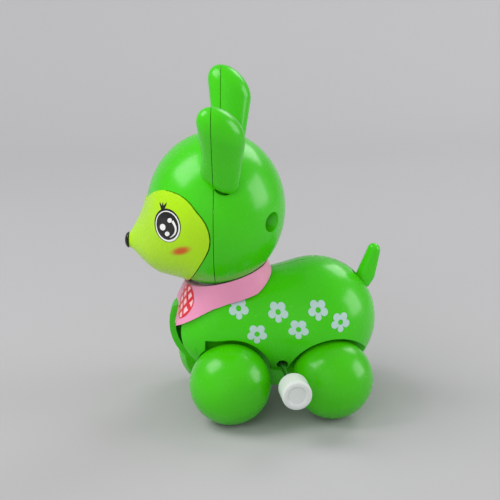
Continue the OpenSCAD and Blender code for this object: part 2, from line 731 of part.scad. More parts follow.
module head_back_shell() color(green) turned_neck() difference() {
    union() {
        difference() {
            head_skin();
            head_frame() before_seam(seam_gap);
        }
        head_frame() for (side = [-1, 1]) intersection() {
            head_form(-head_wall / 2);
            rod_x(side * head_screw_y, head_screw_z, head_boss_r, [boss_joint_x, far]);
        }
    }
    head_frame() for (side = [-1, 1]) {
        rod_x(side * head_screw_y, head_screw_z, recess_r, [recess_floor, far]);
        rod_x(side * head_screw_y, head_screw_z, screw_r + fix_fit, [0, far]);
    }
}
module head_screws() color("silver") turned_neck() head_frame() for (side = [-1, 1])
    translate([recess_floor, side * head_screw_y, head_screw_z]) rotate([0, -90, 0]) screw(head_screw_len);
module face_mask() color("#aed53b") turned_neck() difference() {
    head_frame() intersection() {
        union() {
            head_form(mask_proud);
            muzzle(0);
        }
        face_area(0);
    }
    head_frame() head_form(mask_proud - mask_wall);
    head_frame() muzzle(mask_wall);
    head_frame() rod_x(0, nose_z, nose_stem_r + fix_fit, [-far, 0]);
    below_neck();
}
module nose_button() color("#181818") turned_neck() head_frame() translate([nose_x, 0, nose_z]) rotate([0, -90, 0])
    union() {
        rotate_extrude() polygon(concat(
            [[0, 0]],
            [for (i = [0 : 8]) [nose_r * cos(90 * i / 8), nose_len * sin(90 * i / 8)]]
        ));
        translate([0, 0, -nose_stem_len]) cylinder(r = nose_stem_r, h = nose_stem_len);
    }

// Tail
module tail() color(green) {
    difference() {
        union() {
            rod([tail_x, tail_z], tail_hub_r, [-tail_hub_half, tail_hub_half]);
            translate([tail_x, 0, tail_z]) rotate([0, tail_lean, 0]) block([-tail_neck_half, tail_neck_half],
                [-tail_hub_half, tail_hub_half], [0, tail_boss_r + 2 * move_gap]);
        }
        rod([tail_x, tail_z], tail_pin_r + run_fit, [-far, far]);
    }
    translate([tail_x, 0, tail_z]) rotate([0, tail_lean, 0]) translate([0, 0, tail_len])
        finger(tail_half, -tail_flare, tail_len - tail_boss_r - move_gap);
    translate([tail_x, 0, tail_z]) rotate([0, lever_lean, 0])
        block([-lever_half, lever_half], cam_y, [-lever_len, -lever_root]);
}
module tail_pin() color("silver") rod([tail_x, tail_z], tail_pin_r, [-tail_pin_half, tail_pin_half]);

to_frame() body_left_shell();
to_frame() body_right_shell();
to_frame() belly_plate();
to_frame() body_screws();
to_frame() belly_screws();
to_frame() collar_scarf();
to_frame() neck_bush();
to_frame() motor_left_plate();
to_frame() motor_right_plate();
to_frame() motor_pillars();
to_frame() mainspring();
to_frame() winding_arbor();
to_frame() winding_knob();
to_frame() great_wheel();
to_frame() idler_gear();
to_frame() escape_wheel();
to_frame() pallet();
to_frame() rear_axle_rod();
to_frame() axle_pinion();
to_frame() tail_cam();
to_frame() rear_left_wheel();
to_frame() rear_left_hub_cap();
to_frame() rear_right_wheel();
to_frame() rear_right_hub_cap();
to_frame() front_axle_rod();
to_frame() front_left_wheel();
to_frame() front_left_hub_cap();
to_frame() front_right_wheel();
to_frame() front_right_hub_cap();
to_frame() head_front_shell();
to_frame() head_back_shell();
to_frame() face_mask();
to_frame() nose_button();
to_frame() head_screws();
to_frame() neck_post();
to_frame() neck_retainer();
to_frame() neck_screw();
to_frame() tail();
to_frame() tail_pin();
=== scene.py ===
"""Studio scene of a wind-up fawn on ball wheels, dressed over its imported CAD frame.

Sizes are in millimetres until a mesh is finished, and places come from the frame's joints and nodes.
"""

import json
import logging
import math
from collections.abc import Callable, Iterable, Sequence
from dataclasses import dataclass, field
from enum import Enum
from functools import partial

import bmesh
import bpy
import numpy as np
from mathutils import Matrix, Vector
from mathutils.bvhtree import BVHTree


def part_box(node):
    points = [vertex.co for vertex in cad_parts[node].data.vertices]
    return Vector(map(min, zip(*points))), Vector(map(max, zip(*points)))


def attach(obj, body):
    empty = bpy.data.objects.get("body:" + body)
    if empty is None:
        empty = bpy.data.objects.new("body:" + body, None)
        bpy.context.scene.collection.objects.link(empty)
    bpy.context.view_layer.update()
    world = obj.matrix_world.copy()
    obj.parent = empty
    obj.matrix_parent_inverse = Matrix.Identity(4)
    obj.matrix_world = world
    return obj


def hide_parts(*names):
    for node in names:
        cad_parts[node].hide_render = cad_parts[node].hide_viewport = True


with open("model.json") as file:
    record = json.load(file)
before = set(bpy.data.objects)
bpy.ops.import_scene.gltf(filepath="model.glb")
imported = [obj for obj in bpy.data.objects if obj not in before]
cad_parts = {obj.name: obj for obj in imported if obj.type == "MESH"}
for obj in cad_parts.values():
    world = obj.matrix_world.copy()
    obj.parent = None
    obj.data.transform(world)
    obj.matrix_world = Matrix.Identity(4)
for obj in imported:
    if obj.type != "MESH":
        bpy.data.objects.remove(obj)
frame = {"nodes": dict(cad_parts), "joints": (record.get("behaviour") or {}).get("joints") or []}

MM = 0.001
MERGE = 1e-4  # Vertices this close, in millimetres, are joined.
TINY = 1e-12  # Keeps a division from zero.
MIX_A, MIX_B, MIX_OUT = 6, 7, 2  # Sockets of a Mix node that are colours.
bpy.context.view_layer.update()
JOINTS = {joint["name"]: joint for joint in frame["joints"]}
log = logging.getLogger("fawn")


class Side(Enum):
    """A side of the toy: its sign along Y."""

    LEFT = -1
    RIGHT = 1


class Ink(Enum):
    """Colours of the plastics, the prints and the backdrop, as sRGB hex."""

    GREEN = "#3fc704"
    WHEEL_GREEN = "#3fbb02"
    FACE = "#a9df08"
    PINK = "#e491b6"
    BLACK = "#101010"
    IRIS = "#1d1d1b"
    WHITE = "#eceeea"
    KNOB = "#cdd3cf"
    PETAL = "#b4d2cc"
    CHEEK = "#c85604"
    CHECK_RED = "#d5202c"
    CHECK_PALE = "#f4c0cd"
    STEEL = "#b9bcc0"
    BRASS = "#c79a4b"
    FRAME_GREY = "#cfd2d2"
    BACKDROP = "#b1b0b2"


def linear(ink: Ink, gain: float = 1.0) -> tuple[float, float, float, float]:
    """Turns an sRGB colour to linear.

    Args:
        ink: The colour.
        gain: Factor on its brightness.

    Returns:
        Linear red, green, blue and an alpha of 1.
    """
    parts = [int(ink.value[i:i + 2], 16) / 255 for i in (1, 3, 5)]
    parts = [c / 12.92 if c <= 0.04045 else ((c + 0.055) / 1.055) ** 2.4 for c in parts]
    return (*(min(1.0, gain * c) for c in parts), 1.0)


def add_node(tree: bpy.types.NodeTree, kind: str, links: dict | None = None, **settings) -> bpy.types.Node:
    """Adds a node with its settings and links.

    Args:
        tree: The node tree.
        kind: The node's type name.
        links: Input name or index to an output socket or a plain value.
        settings: Attributes of the node.

    Returns:
        The new node.
    """
    node = tree.nodes.new(kind)
    for name, value in settings.items():
        setattr(node, name, value)
    for name, value in (links or {}).items():
        if isinstance(value, bpy.types.NodeSocket):
            tree.links.new(value, node.inputs[name])
        else:
            node.inputs[name].default_value = value
    return node


def new_material(
    name: str, sockets: dict[str, float | tuple[float, ...]]
) -> tuple[bpy.types.Material, bpy.types.NodeTree, bpy.types.Node]:
    """Makes a material that has only its shader.

    Args:
        name: Its name, for the real material and how it was made.
        sockets: Values of the shader's sockets that are the same all over.

    Returns:
        The material, its node tree and its Principled shader.
    """
    material = bpy.data.materials.new(name)
    material.use_nodes = True
    tree = material.node_tree
    shader = tree.nodes["Principled BSDF"]
    for socket, value in sockets.items():
        shader.inputs[socket].default_value = value
    return material, tree, shader


def per_mm(size: float) -> float:
    """Gives the texture scale whose features are about this many millimetres across."""
    return 1 / (size * MM)


def mottle(
    shader: bpy.types.Node,
    place: bpy.types.NodeSocket,
    ink: Ink,
    shades: tuple[float, float],
    size: float,
    detail: float,
) -> bpy.types.NodeSocket:
    """Colours a shader softly and unevenly between two shades of an ink.

    Args:
        shader: The shader.
        place: Coordinates that the unevenness follows.
        ink: The colour.
        shades: Factors on its brightness at both ends.
        size: How wide a patch is, in millimetres.
        detail: How many finer layers the patches have.

    Returns:
        The unevenness, from 0 to 1.
    """
    tree = shader.id_data
    noise = add_node(tree, "ShaderNodeTexNoise", {"Vector": place, "Scale": per_mm(size), "Detail": detail})
    tone = add_node(tree, "ShaderNodeMix", {
        "Factor": noise.outputs["Fac"],
        MIX_A: linear(ink, shades[0]),
        MIX_B: linear(ink, shades[1]),
    }, data_type="RGBA")
    tree.links.new(tone.outputs[MIX_OUT], shader.inputs["Base Color"])
    return noise.outputs["Fac"]


@dataclass(frozen=True)
class MouldedPlastic:
    """Glossy injection-moulded ABS: a clear sheen over even colour, with faint flow marks and scuffs."""

    name: str
    ink: Ink
    shades: tuple[float, float] = (0.92, 1.08)
    flow_mm: float = 16.0
    roughness: float = 0.24
    spread: tuple[float, float] = (0.85, 1.2)
    scuff_mm: float = 1.6
    scuff_range: tuple[float, float] = (0.3, 0.7)
    peel: float = 0.02
    peel_mm: float = 2.6
    peel_depth_mm: float = 0.3
    ior: float = 1.53
    gloss: float = 0.32
    coat: float = 0.06
    coat_roughness: float = 0.06
    glow: float = 0.04
    glow_mm: tuple[float, float, float] = (0.8, 1.4, 0.5)

    def material(self) -> bpy.types.Material:
        """Builds the plastic's nodes.

        Returns:
            The material.
        """
        material, tree, shader = new_material(self.name, {
            "IOR": self.ior,
            "Specular IOR Level": self.gloss,
            "Coat Weight": self.coat,
            "Coat Roughness": self.coat_roughness,
            "Subsurface Weight": self.glow,
            "Subsurface Radius": tuple(reach * MM for reach in self.glow_mm),
            "Subsurface Scale": 1.0,
        })
        place = add_node(tree, "ShaderNodeTexCoord").outputs["Object"]
        mottle(shader, place, self.ink, self.shades, size=self.flow_mm, detail=2.0)
        scuff = add_node(tree, "ShaderNodeTexNoise", {
            "Vector": place,
            "Scale": per_mm(self.scuff_mm),
            "Detail": 4.0,
        })
        rough = add_node(tree, "ShaderNodeMapRange", {
            "Value": scuff.outputs["Fac"],
            "From Min": self.scuff_range[0],
            "From Max": self.scuff_range[1],
            "To Min": self.roughness * self.spread[0],
            "To Max": self.roughness * self.spread[1],
        })
        tree.links.new(rough.outputs["Result"], shader.inputs["Roughness"])
        peel = add_node(tree, "ShaderNodeTexNoise", {
            "Vector": place,
            "Scale": per_mm(self.peel_mm),
            "Detail": 1.0,
        })
        bump = add_node(tree, "ShaderNodeBump", {
            "Height": peel.outputs["Fac"],
            "Strength": self.peel,
            "Distance": self.peel_depth_mm * MM,
        })
        tree.links.new(bump.outputs["Normal"], shader.inputs["Normal"])
        return material


@dataclass(frozen=True)
class WorkedMetal:
    """Drawn or stamped metal, bare or plated: bright, with fine lines along one axis.

    Real lines are finer than line_mm, which is as coarse as they need to show.
    """

    name: str
    ink: Ink
    shades: tuple[float, float] = (0.82, 1.1)
    line_mm: float = 0.5
    line_stretch: float = 0.08
    roughness: float = 0.28
    spread: tuple[float, float] = (0.7, 1.4)

    def material(self) -> bpy.types.Material:
        """Builds the metal's nodes.

        Returns:
            The material.
        """
        material, tree, shader = new_material(self.name, {"Metallic": 1.0})
        place = add_node(tree, "ShaderNodeTexCoord").outputs["Object"]
        drawn = add_node(tree, "ShaderNodeMapping", {"Vector": place, "Scale": (1.0, self.line_stretch, 1.0)})
        grain = mottle(
            shader, drawn.outputs["Vector"], self.ink, self.shades, size=self.line_mm, detail=3.0
        )
        rough = add_node(tree, "ShaderNodeMapRange", {
            "Value": grain,
            "To Min": self.roughness * self.spread[0],
            "To Max": self.roughness * self.spread[1],
        })
        tree.links.new(rough.outputs["Result"], shader.inputs["Roughness"])
        return material


@dataclass(frozen=True)
class PadInk:
    """Pad-printed ink on plastic: a thin satin film with slightly uneven cover."""

    name: str
    ink: Ink
    shades: tuple[float, float] = (0.92, 1.06)
    patch_mm: float = 1.2
    roughness: float = 0.3
    ior: float = 1.5

    def material(self) -> bpy.types.Material:
        """Builds the ink's nodes.

        Returns:
            The material.
        """
        material, tree, shader = new_material(self.name, {"Roughness": self.roughness, "IOR": self.ior})
        place = add_node(tree, "ShaderNodeTexCoord").outputs["Object"]
        mottle(shader, place, self.ink, self.shades, size=self.patch_mm, detail=3.0)
        return material


@dataclass(frozen=True)
class BlushInk:
    """Sprayed cheek colour: dense in the middle and fading to the plastic at its rim.

    The fade follows the print's UV map of its reach, which is 1 at the rim.
    """

    name: str
    ink: Ink
    ground: Ink
    dense: float = 0.25
    roughness: float = 0.3

    def material(self) -> bpy.types.Material:
        """Builds the blush's nodes.

        Returns:
            The material.
        """
        material, tree, shader = new_material(self.name, {"Roughness": self.roughness})
        edge = add_node(tree, "ShaderNodeUVMap", uv_map="reach").outputs["UV"]
        out = add_node(tree, "ShaderNodeVectorMath", {0: edge}, operation="LENGTH")
        fade = add_node(tree, "ShaderNodeMapRange", {
            "Value": out.outputs["Value"],
            "From Min": self.dense,
            "From Max": 1.0,
        }, interpolation_type="SMOOTHSTEP")
        tone = add_node(tree, "ShaderNodeMix", {
            "Factor": fade.outputs["Result"],
            MIX_A: linear(self.ink),
            MIX_B: linear(self.ground),
        }, data_type="RGBA")
        tree.links.new(tone.outputs[MIX_OUT], shader.inputs["Base Color"])
        return material


@dataclass(frozen=True)
class CheckInk:
    """Screen-printed diagonal check with an outline, drawn on the print's UV map in millimetres."""

    name: str
    line: Ink
    ground: Ink
    pitch_mm: float = 2.8
    line_mm: float = 1.2
    rim: float = 0.93
    roughness: float = 0.32

    def material(self) -> bpy.types.Material:
        """Builds the check's nodes.

        Returns:
            The material.
        """
        material, tree, shader = new_material(self.name, {"Roughness": self.roughness})
        place = add_node(tree, "ShaderNodeUVMap", uv_map="print").outputs["UV"]
        edge = add_node(tree, "ShaderNodeUVMap", uv_map="reach").outputs["UV"]
        out = add_node(tree, "ShaderNodeVectorMath", {0: edge}, operation="LENGTH").outputs["Value"]
        rim = add_node(tree, "ShaderNodeMath", {0: out, 1: self.rim}, operation="GREATER_THAN")
        inked = rim.outputs["Value"]
        for slant in (1.0, -1.0):
            across = {0: place, 1: (1.0, slant, 0.0)}
            value = add_node(tree, "ShaderNodeVectorMath", across, operation="DOT_PRODUCT").outputs["Value"]
            for operation, other in (
                ("MULTIPLY", 1 / (self.pitch_mm * math.sqrt(2))),
                ("FRACT", 0.0),
                ("LESS_THAN", self.line_mm / self.pitch_mm),
                ("MAXIMUM", inked),
            ):
                step = add_node(tree, "ShaderNodeMath", {0: value, 1: other}, operation=operation)
                value = step.outputs["Value"]
            inked = value
        tone = add_node(tree, "ShaderNodeMix", {
            "Factor": inked,
            MIX_A: linear(self.ground),
            MIX_B: linear(self.line),
        }, data_type="RGBA")
        tree.links.new(tone.outputs[MIX_OUT], shader.inputs["Base Color"])
        return material


Finish = MouldedPlastic | WorkedMetal | PadInk | BlushInk | CheckInk
GREEN_ABS = MouldedPlastic("gloss moulded green ABS", Ink.GREEN)
WHEEL_ABS = MouldedPlastic("gloss moulded wheel ABS", Ink.WHEEL_GREEN)
FACE_ABS = MouldedPlastic("gloss moulded lime ABS", Ink.FACE, roughness=0.26)
SCARF_ABS = MouldedPlastic("satin moulded pink ABS", Ink.PINK, roughness=0.34, coat=0.1)
NOSE_ABS = MouldedPlastic("gloss moulded black ABS", Ink.BLACK, roughness=0.16, glow=0.0)
KNOB_ABS = MouldedPlastic("satin moulded white ABS", Ink.KNOB, roughness=0.36, coat=0.08)
MOTOR_ABS = MouldedPlastic("as-moulded grey acetal", Ink.FRAME_GREY, roughness=0.45, coat=0.0)
STEEL = WorkedMetal("zinc-plated drawn steel", Ink.STEEL)
BRASS = WorkedMetal("stamped brass", Ink.BRASS, roughness=0.3)
PETAL_INK = PadInk("pad-printed petal ink", Ink.PETAL)
BLACK_INK = PadInk("pad-printed black ink", Ink.BLACK, roughness=0.22)
IRIS_INK = PadInk("pad-printed iris ink", Ink.IRIS, roughness=0.22)
WHITE_INK = PadInk("pad-printed white ink", Ink.WHITE)
CHEEK_INK = BlushInk("sprayed cheek ink", Ink.CHEEK, Ink.FACE)
CHECK_INK = CheckInk("screen-printed check", Ink.CHECK_RED, Ink.CHECK_PALE)
# Matt paper has the same soft unevenness as a film of ink, at the scale of the whole sheet.
PAPER = PadInk("seamless grey paper", Ink.BACKDROP, roughness=0.9, patch_mm=900.0)
_made: dict[str, bpy.types.Material] = {}


def material_of(finish: Finish) -> bpy.types.Material:
    """Gives a finish's material, made once.

    Args:
        finish: The finish.

    Returns:
        Its material.
    """
    if finish.name not in _made:
        _made[finish.name] = finish.material()
    return _made[finish.name]


Level = Callable[[np.ndarray], np.ndarray]
Profile = Sequence[tuple[float, float]]


def joint_place(name: str) -> Vector:
    """Gives a joint's place at rest, in millimetres."""
    return Vector(JOINTS[name]["pos_m"]) / MM


def arc(start: float, end: float, steps: int) -> list[float]:
    """Gives evenly spaced angles in radians, with both ends, from degrees."""
    return [math.radians(start + (end - start) * i / steps) for i in range(steps + 1)]


MIDDLE = Vector((
    (joint_place("front_spin").x + joint_place("rear_spin").x) / 2,
    joint_place("head_turn").y,
    0.0,
))
NECK_AXIS = Vector(JOINTS["head_turn"]["axis"])
NECK_TILT = math.atan2(NECK_AXIS.x, NECK_AXIS.z)
NECK = Matrix.Translation(joint_place("head_turn")) @ Matrix.Rotation(NECK_TILT, 4, "Y")


def in_frame(points: np.ndarray, frame_of: Matrix) -> np.ndarray:
    """Takes points from the row frame into another frame.

    Args:
        points: Points in millimetres.
        frame_of: Matrix from that frame to the row frame.

    Returns:
        The points in that frame.
    """
    back = np.array(frame_of.inverted())
    return points @ back[:3, :3].T + back[:3, 3]


def gradient(level: Level, points: np.ndarray, step: float = 0.01) -> np.ndarray:
    """Gives the unit normals of a level function at some points.

    Args:
        level: The function, zero on the surface and positive outside.
        points: Points in millimetres.
        step: Half the difference step.

    Returns:
        One unit normal per point.
    """
    slopes = np.stack([
        level(points + step * axis) - level(points - step * axis) for axis in np.eye(3)
    ], axis=1)
    return slopes / np.maximum(np.linalg.norm(slopes, axis=1, keepdims=True), TINY)


def soft_max(first: np.ndarray, second: np.ndarray, width: float) -> np.ndarray:
    """Gives the greater of two levels, rounded where they come close.

    Args:
        first: Values of one level function.
        second: Values of the other.
        width: Difference below which they blend.

    Returns:
        The blended values.
    """
    near = np.maximum(width - np.abs(first - second), 0) / width
    return np.maximum(first, second) + near * near * width / 4


def points_of(verts: Iterable[bmesh.types.BMVert]) -> np.ndarray:
    """Gives the places of some vertices in millimetres, from metres."""
    return np.array([vert.co for vert in verts]) / MM


def mesh_points(mesh: bpy.types.Mesh) -> np.ndarray:
    """Gives the places of a mesh's vertices in millimetres, from metres.

    Args:
        mesh: The mesh.

    Returns:
        One point per vertex.
    """
    places = np.empty(len(mesh.vertices) * 3, np.float32)
    mesh.vertices.foreach_get("co", places)
    return places.reshape(-1, 3).astype(float) / MM


def shade(mesh: bpy.types.Mesh, levels: Sequence[Level], reach: float = 0.14, lean: float = 0.85) -> None:
    """Gives a mesh the true normals of the surfaces that its faces lie on, and flat ones elsewhere.

    Args:
        mesh: A mesh in metres.
        levels: Level functions of its smooth surfaces, in millimetres.
        reach: How far off a surface a vertex may lie.
        lean: Least cosine between a face's normal and the surface's.
    """
    places = mesh_points(mesh)
    corners = np.empty(len(mesh.loops), np.int32)
    mesh.loops.foreach_get("vertex_index", corners)
    faces = np.empty(len(mesh.polygons) * 3, np.float32)
    mesh.polygons.foreach_get("normal", faces)
    sizes = np.empty(len(mesh.polygons), np.int32)
    mesh.polygons.foreach_get("loop_total", sizes)
    flat = np.repeat(faces.reshape(-1, 3), sizes, axis=0).astype(float)
    best = np.full(len(corners), lean)
    result = flat.copy()
    for level in levels:
        near = np.abs(level(places)) < reach
        normals = gradient(level, places)[corners]
        fit = np.einsum("ij,ij->i", normals, flat)
        take = near[corners] & (fit > best)
        result[take] = normals[take]
        best[take] = fit[take]
    mesh.shade_smooth()
    mesh.normals_split_custom_set(result.tolist())


def new_object(name: str, data: bpy.types.ID) -> bpy.types.Object:
    """Adds an object to the scene.

    Args:
        name: Its name.
        data: Its mesh, lamp or camera.

    Returns:
        The object, at the origin.
    """
    thing = bpy.data.objects.new(name, data)
    bpy.context.scene.collection.objects.link(thing)
    return thing


def finished(bm: bmesh.types.BMesh, name: str, finish: Finish, body: str) -> bpy.types.Object:
    """Turns a bmesh in metres into a piece of the toy, and frees it.

    Args:
        bm: The bmesh.
        name: The piece's name.
        finish: Its finish.
        body: The body that it rides on.

    Returns:
        The piece's object.
    """
    mesh = bpy.data.meshes.new(name)
    bm.to_mesh(mesh)
    bm.free()
    mesh.materials.clear()
    mesh.materials.append(material_of(finish))
    mesh.polygons.foreach_set("material_index", [0] * len(mesh.polygons))
    piece = new_object(name, mesh)
    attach(piece, body)
    log.info("%s: %d faces", name, len(mesh.polygons))
    return piece


def moulding(bm: bmesh.types.BMesh, node: str, finish: Finish, body: str) -> bpy.types.Object:
    """Turns a bmesh in metres into the piece that stands for a CAD node, and frees it.

    Args:
        bm: The bmesh.
        node: The node's name.
        finish: The piece's finish.
        body: The body that it rides on.

    Returns:
        The piece's object.
    """
    piece = finished(bm, f"{node}_moulding", finish, body)
    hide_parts(node)
    return piece


def merged_copy(node: str) -> bmesh.types.BMesh:
    """Gives a bmesh copy of a CAD node with its loose triangles joined.

    Args:
        node: The node's name.

    Returns:
        The bmesh, in metres.
    """
    bm = bmesh.new()
    bm.from_mesh(frame["nodes"][node].data)
    bmesh.ops.remove_doubles(bm, verts=bm.verts, dist=MERGE * MM)
    bmesh.ops.dissolve_degenerate(bm, edges=bm.edges, dist=MERGE * MM)
    return bm


def divide(
    bm: bmesh.types.BMesh,
    facet: float,
    passes: int,
    among: Callable[[], Iterable[bmesh.types.BMVert]] | None = None,
) -> None:
    """Halves the long edges of a mesh, pass by pass.

    Args:
        bm: The bmesh, in metres.
        facet: Length past which an edge is halved, in millimetres.
        passes: How many passes are made.
        among: Finds the vertices whose edges count, before each pass. All count without it.
    """
    for _ in range(passes):
        chosen = set(among() if among else bm.verts)
        long_edges = [
            edge for edge in bm.edges
            if edge.calc_length() > facet * MM and not chosen.isdisjoint(edge.verts)
        ]
        if long_edges:
            bmesh.ops.subdivide_edges(bm, edges=long_edges, cuts=1, use_grid_fill=False)
            bmesh.ops.triangulate(bm, faces=[face for face in bm.faces if len(face.verts) > 3])


def polished(
    node: str,
    finish: Finish,
    body: str,
    levels: Sequence[Level],
    reshape: Callable[[bmesh.types.BMesh], None] | None = None,
) -> None:
    """Stands a copy of a CAD node in its place, with the true normals of its smooth surfaces.

    Args:
        node: The node's name.
        finish: Its finish.
        body: The body that it rides on.
        levels: Level functions of its smooth surfaces.
        reshape: Refines the copy before its normals are set.
    """
    bm = merged_copy(node)
    if reshape:
        reshape(bm)
    shade(moulding(bm, node, finish, body).data, levels)


def revolved(profile: Profile, frame_of: Matrix, steps: int = 96) -> bmesh.types.BMesh:
    """Spins a profile about the Z axis of its own frame.

    Args:
        profile: Radius and height of each point, from one end of the axis to the other.
        frame_of: Matrix from the profile's frame to the row frame.
        steps: Steps of a full turn.

    Returns:
        A closed bmesh, in metres.
    """
    bm = bmesh.new()
    verts = [bm.verts.new((r, 0.0, z)) for r, z in profile]
    edges = [bm.edges.new(pair) for pair in zip(verts, verts[1:])]
    bmesh.ops.spin(
        bm, geom=verts + edges, cent=(0, 0, 0), axis=(0, 0, 1), angle=2 * math.pi, steps=steps, use_merge=True
    )
    bmesh.ops.remove_doubles(bm, verts=bm.verts, dist=MERGE)
    bmesh.ops.transform(bm, matrix=Matrix.Scale(MM, 4) @ frame_of, verts=bm.verts)
    bmesh.ops.recalc_face_normals(bm, faces=bm.faces)
    return bm


def smooth_by_angle(piece: bpy.types.Object, limit: float = 30.0) -> None:
    """Smooths a piece's shading except over edges sharper than a limit in degrees."""
    piece.data.shade_smooth()
    piece.data.set_sharp_from_angle(angle=math.radians(limit))


@dataclass
class BallWheels:
    """Four hollow balls, each with an inner cap, on two axles."""

    radius: float = 14.5
    centre_y: float = 19.0

    def skin(self, centre: np.ndarray) -> Level:
        """Gives the level function of a ball about a centre."""
        return lambda points: np.linalg.norm(points - centre, axis=1) - self.radius

    def build(self) -> None:
        """Builds each ball and its cap."""
        for end in ("front", "rear"):
            axle = joint_place(f"{end}_spin")
            for side in Side:
                centre = np.array((axle.x, MIDDLE.y + side.value * self.centre_y, axle.z))
                for part in ("wheel", "hub_cap"):
                    node = f"{end}_{side.name.lower()}_{part}"
                    polished(node, WHEEL_ABS, f"{end}_axle", [self.skin(centre)])


@dataclass
class BodyShells:
    """The two moulded halves of the body, split along the middle plane."""

    wheels: BallWheels
    chest_r: float = 17.6
    chest_x: float = -20.5
    rump_r: float = 22.5
    rump_x: float = 15.0
    waist_x: float = 9.0
    axis_z: float = 31.75
    arch_r: float = 15.9
    corner_x: float = -27.0
    pocket_y: float = 11.0
    wheel_gap: float = 0.5
    lip_step: float = 0.05
    seam: float = 0.16
    skin_near: float = 0.1
    arch_near: float = 0.06
    corner_near: float = 0.05
    seam_near: float = 0.02

    def radius(self, x: np.ndarray) -> np.ndarray:
        """Gives the body's radius.

        Args:
            x: Places along the body from the middle of the wheelbase.

        Returns:
            The radius at each place.
        """
        join = math.sqrt(self.rump_r ** 2 - (self.waist_x - self.rump_x) ** 2)
        slope = (self.rump_x - self.waist_x) / join
        span = self.waist_x - self.chest_x
        t = (x - self.chest_x) / span
        waist = (2 * t ** 3 - 3 * t ** 2 + 1) * self.chest_r + (3 * t ** 2 - 2 * t ** 3) * join
        waist = waist + (t ** 3 - t ** 2) * span * slope
        chest = np.sqrt(np.maximum(0, self.chest_r ** 2 - (x - self.chest_x) ** 2))
        rump = np.sqrt(np.maximum(0, self.rump_r ** 2 - (x - self.rump_x) ** 2))
        return np.where(x < self.chest_x, chest, np.where(x < self.waist_x, waist, rump))

    def level(self, points: np.ndarray) -> np.ndarray:
        """Gives how far points lie outside the body's skin, roughly in millimetres.

        Args:
            points: Points in the row frame.

        Returns:
            One value per point.
        """
        x, y, z = (points - np.array((MIDDLE.x, MIDDLE.y, self.axis_z))).T
        out = np.hypot(y, z)
        chest = np.hypot(x - self.chest_x, out) - self.chest_r
        rump = np.hypot(x - self.rump_x, out) - self.rump_r
        waist = out - self.radius(np.clip(x, self.chest_x, self.waist_x))
        return np.where(x < self.chest_x, chest, np.where(x < self.waist_x, waist, rump))

    def half_width(self, x: float, z: float, lift: float = 0.0) -> float:
        """Gives how far the skin stands from the middle plane.

        Args:
            x: Place along the body from the middle of the wheelbase.
            z: Height above the floor.
            lift: How far outside the skin the measure is taken.

        Returns:
            The distance.
        """
        radius = float(self.radius(np.array([x]))[0]) + lift
        return math.sqrt(max(0.0, radius ** 2 - (z - self.axis_z) ** 2))

    def lip(self, x: float, z: float, axle: Vector) -> float:
        """Gives how low the skin can reach ahead of a front wheel.

        Args:
            x: Place along the body from the middle of the wheelbase.
            z: Height at which the arch cuts the skin.
            axle: The front axle's place.

        Returns:
            The height at which the skin meets the arch's side wall or comes close to the wheel.
        """
        while z > axle.z:
            y = self.half_width(x, z)
            ball = math.sqrt(max(0.0, self.wheels.radius ** 2 - (y - self.wheels.centre_y) ** 2))
            if y <= self.pocket_y or math.hypot(MIDDLE.x + x - axle.x, z - axle.z) <= ball + self.wheel_gap:
                break
            z -= self.lip_step
        return z

    def refine(self, bm: bmesh.types.BMesh) -> None:
        """Opens a fine seam along the middle plane and draws the skin down ahead of the front wheel.

        Args:
            bm: A shell.
        """
        axle = joint_place("front_spin")
        skin = np.abs(self.level(points_of(bm.verts))) < self.skin_near
        for vert in [vert for vert, near in zip(bm.verts, skin) if near]:
            x, y, z = vert.co / MM - MIDDLE
            side = math.copysign(1, vert.link_faces[0].calc_center_median().y / MM - MIDDLE.y)
            arch = abs(math.hypot(vert.co.x / MM - axle.x, z - axle.z) - self.arch_r) < self.arch_near
            if arch and x < self.corner_x + self.corner_near and z > axle.z:
                z = self.lip(x, z, axle)
                vert.co = (MIDDLE + Vector((x, side * self.half_width(x, z), z))) * MM
            elif abs(y) < self.seam_near:
                vert.co.y += side * self.seam * MM

    def build(self) -> None:
        """Builds both shells."""
        for node in ("body_left_shell", "body_right_shell"):
            polished(node, GREEN_ABS, "chassis", [self.level], self.refine)


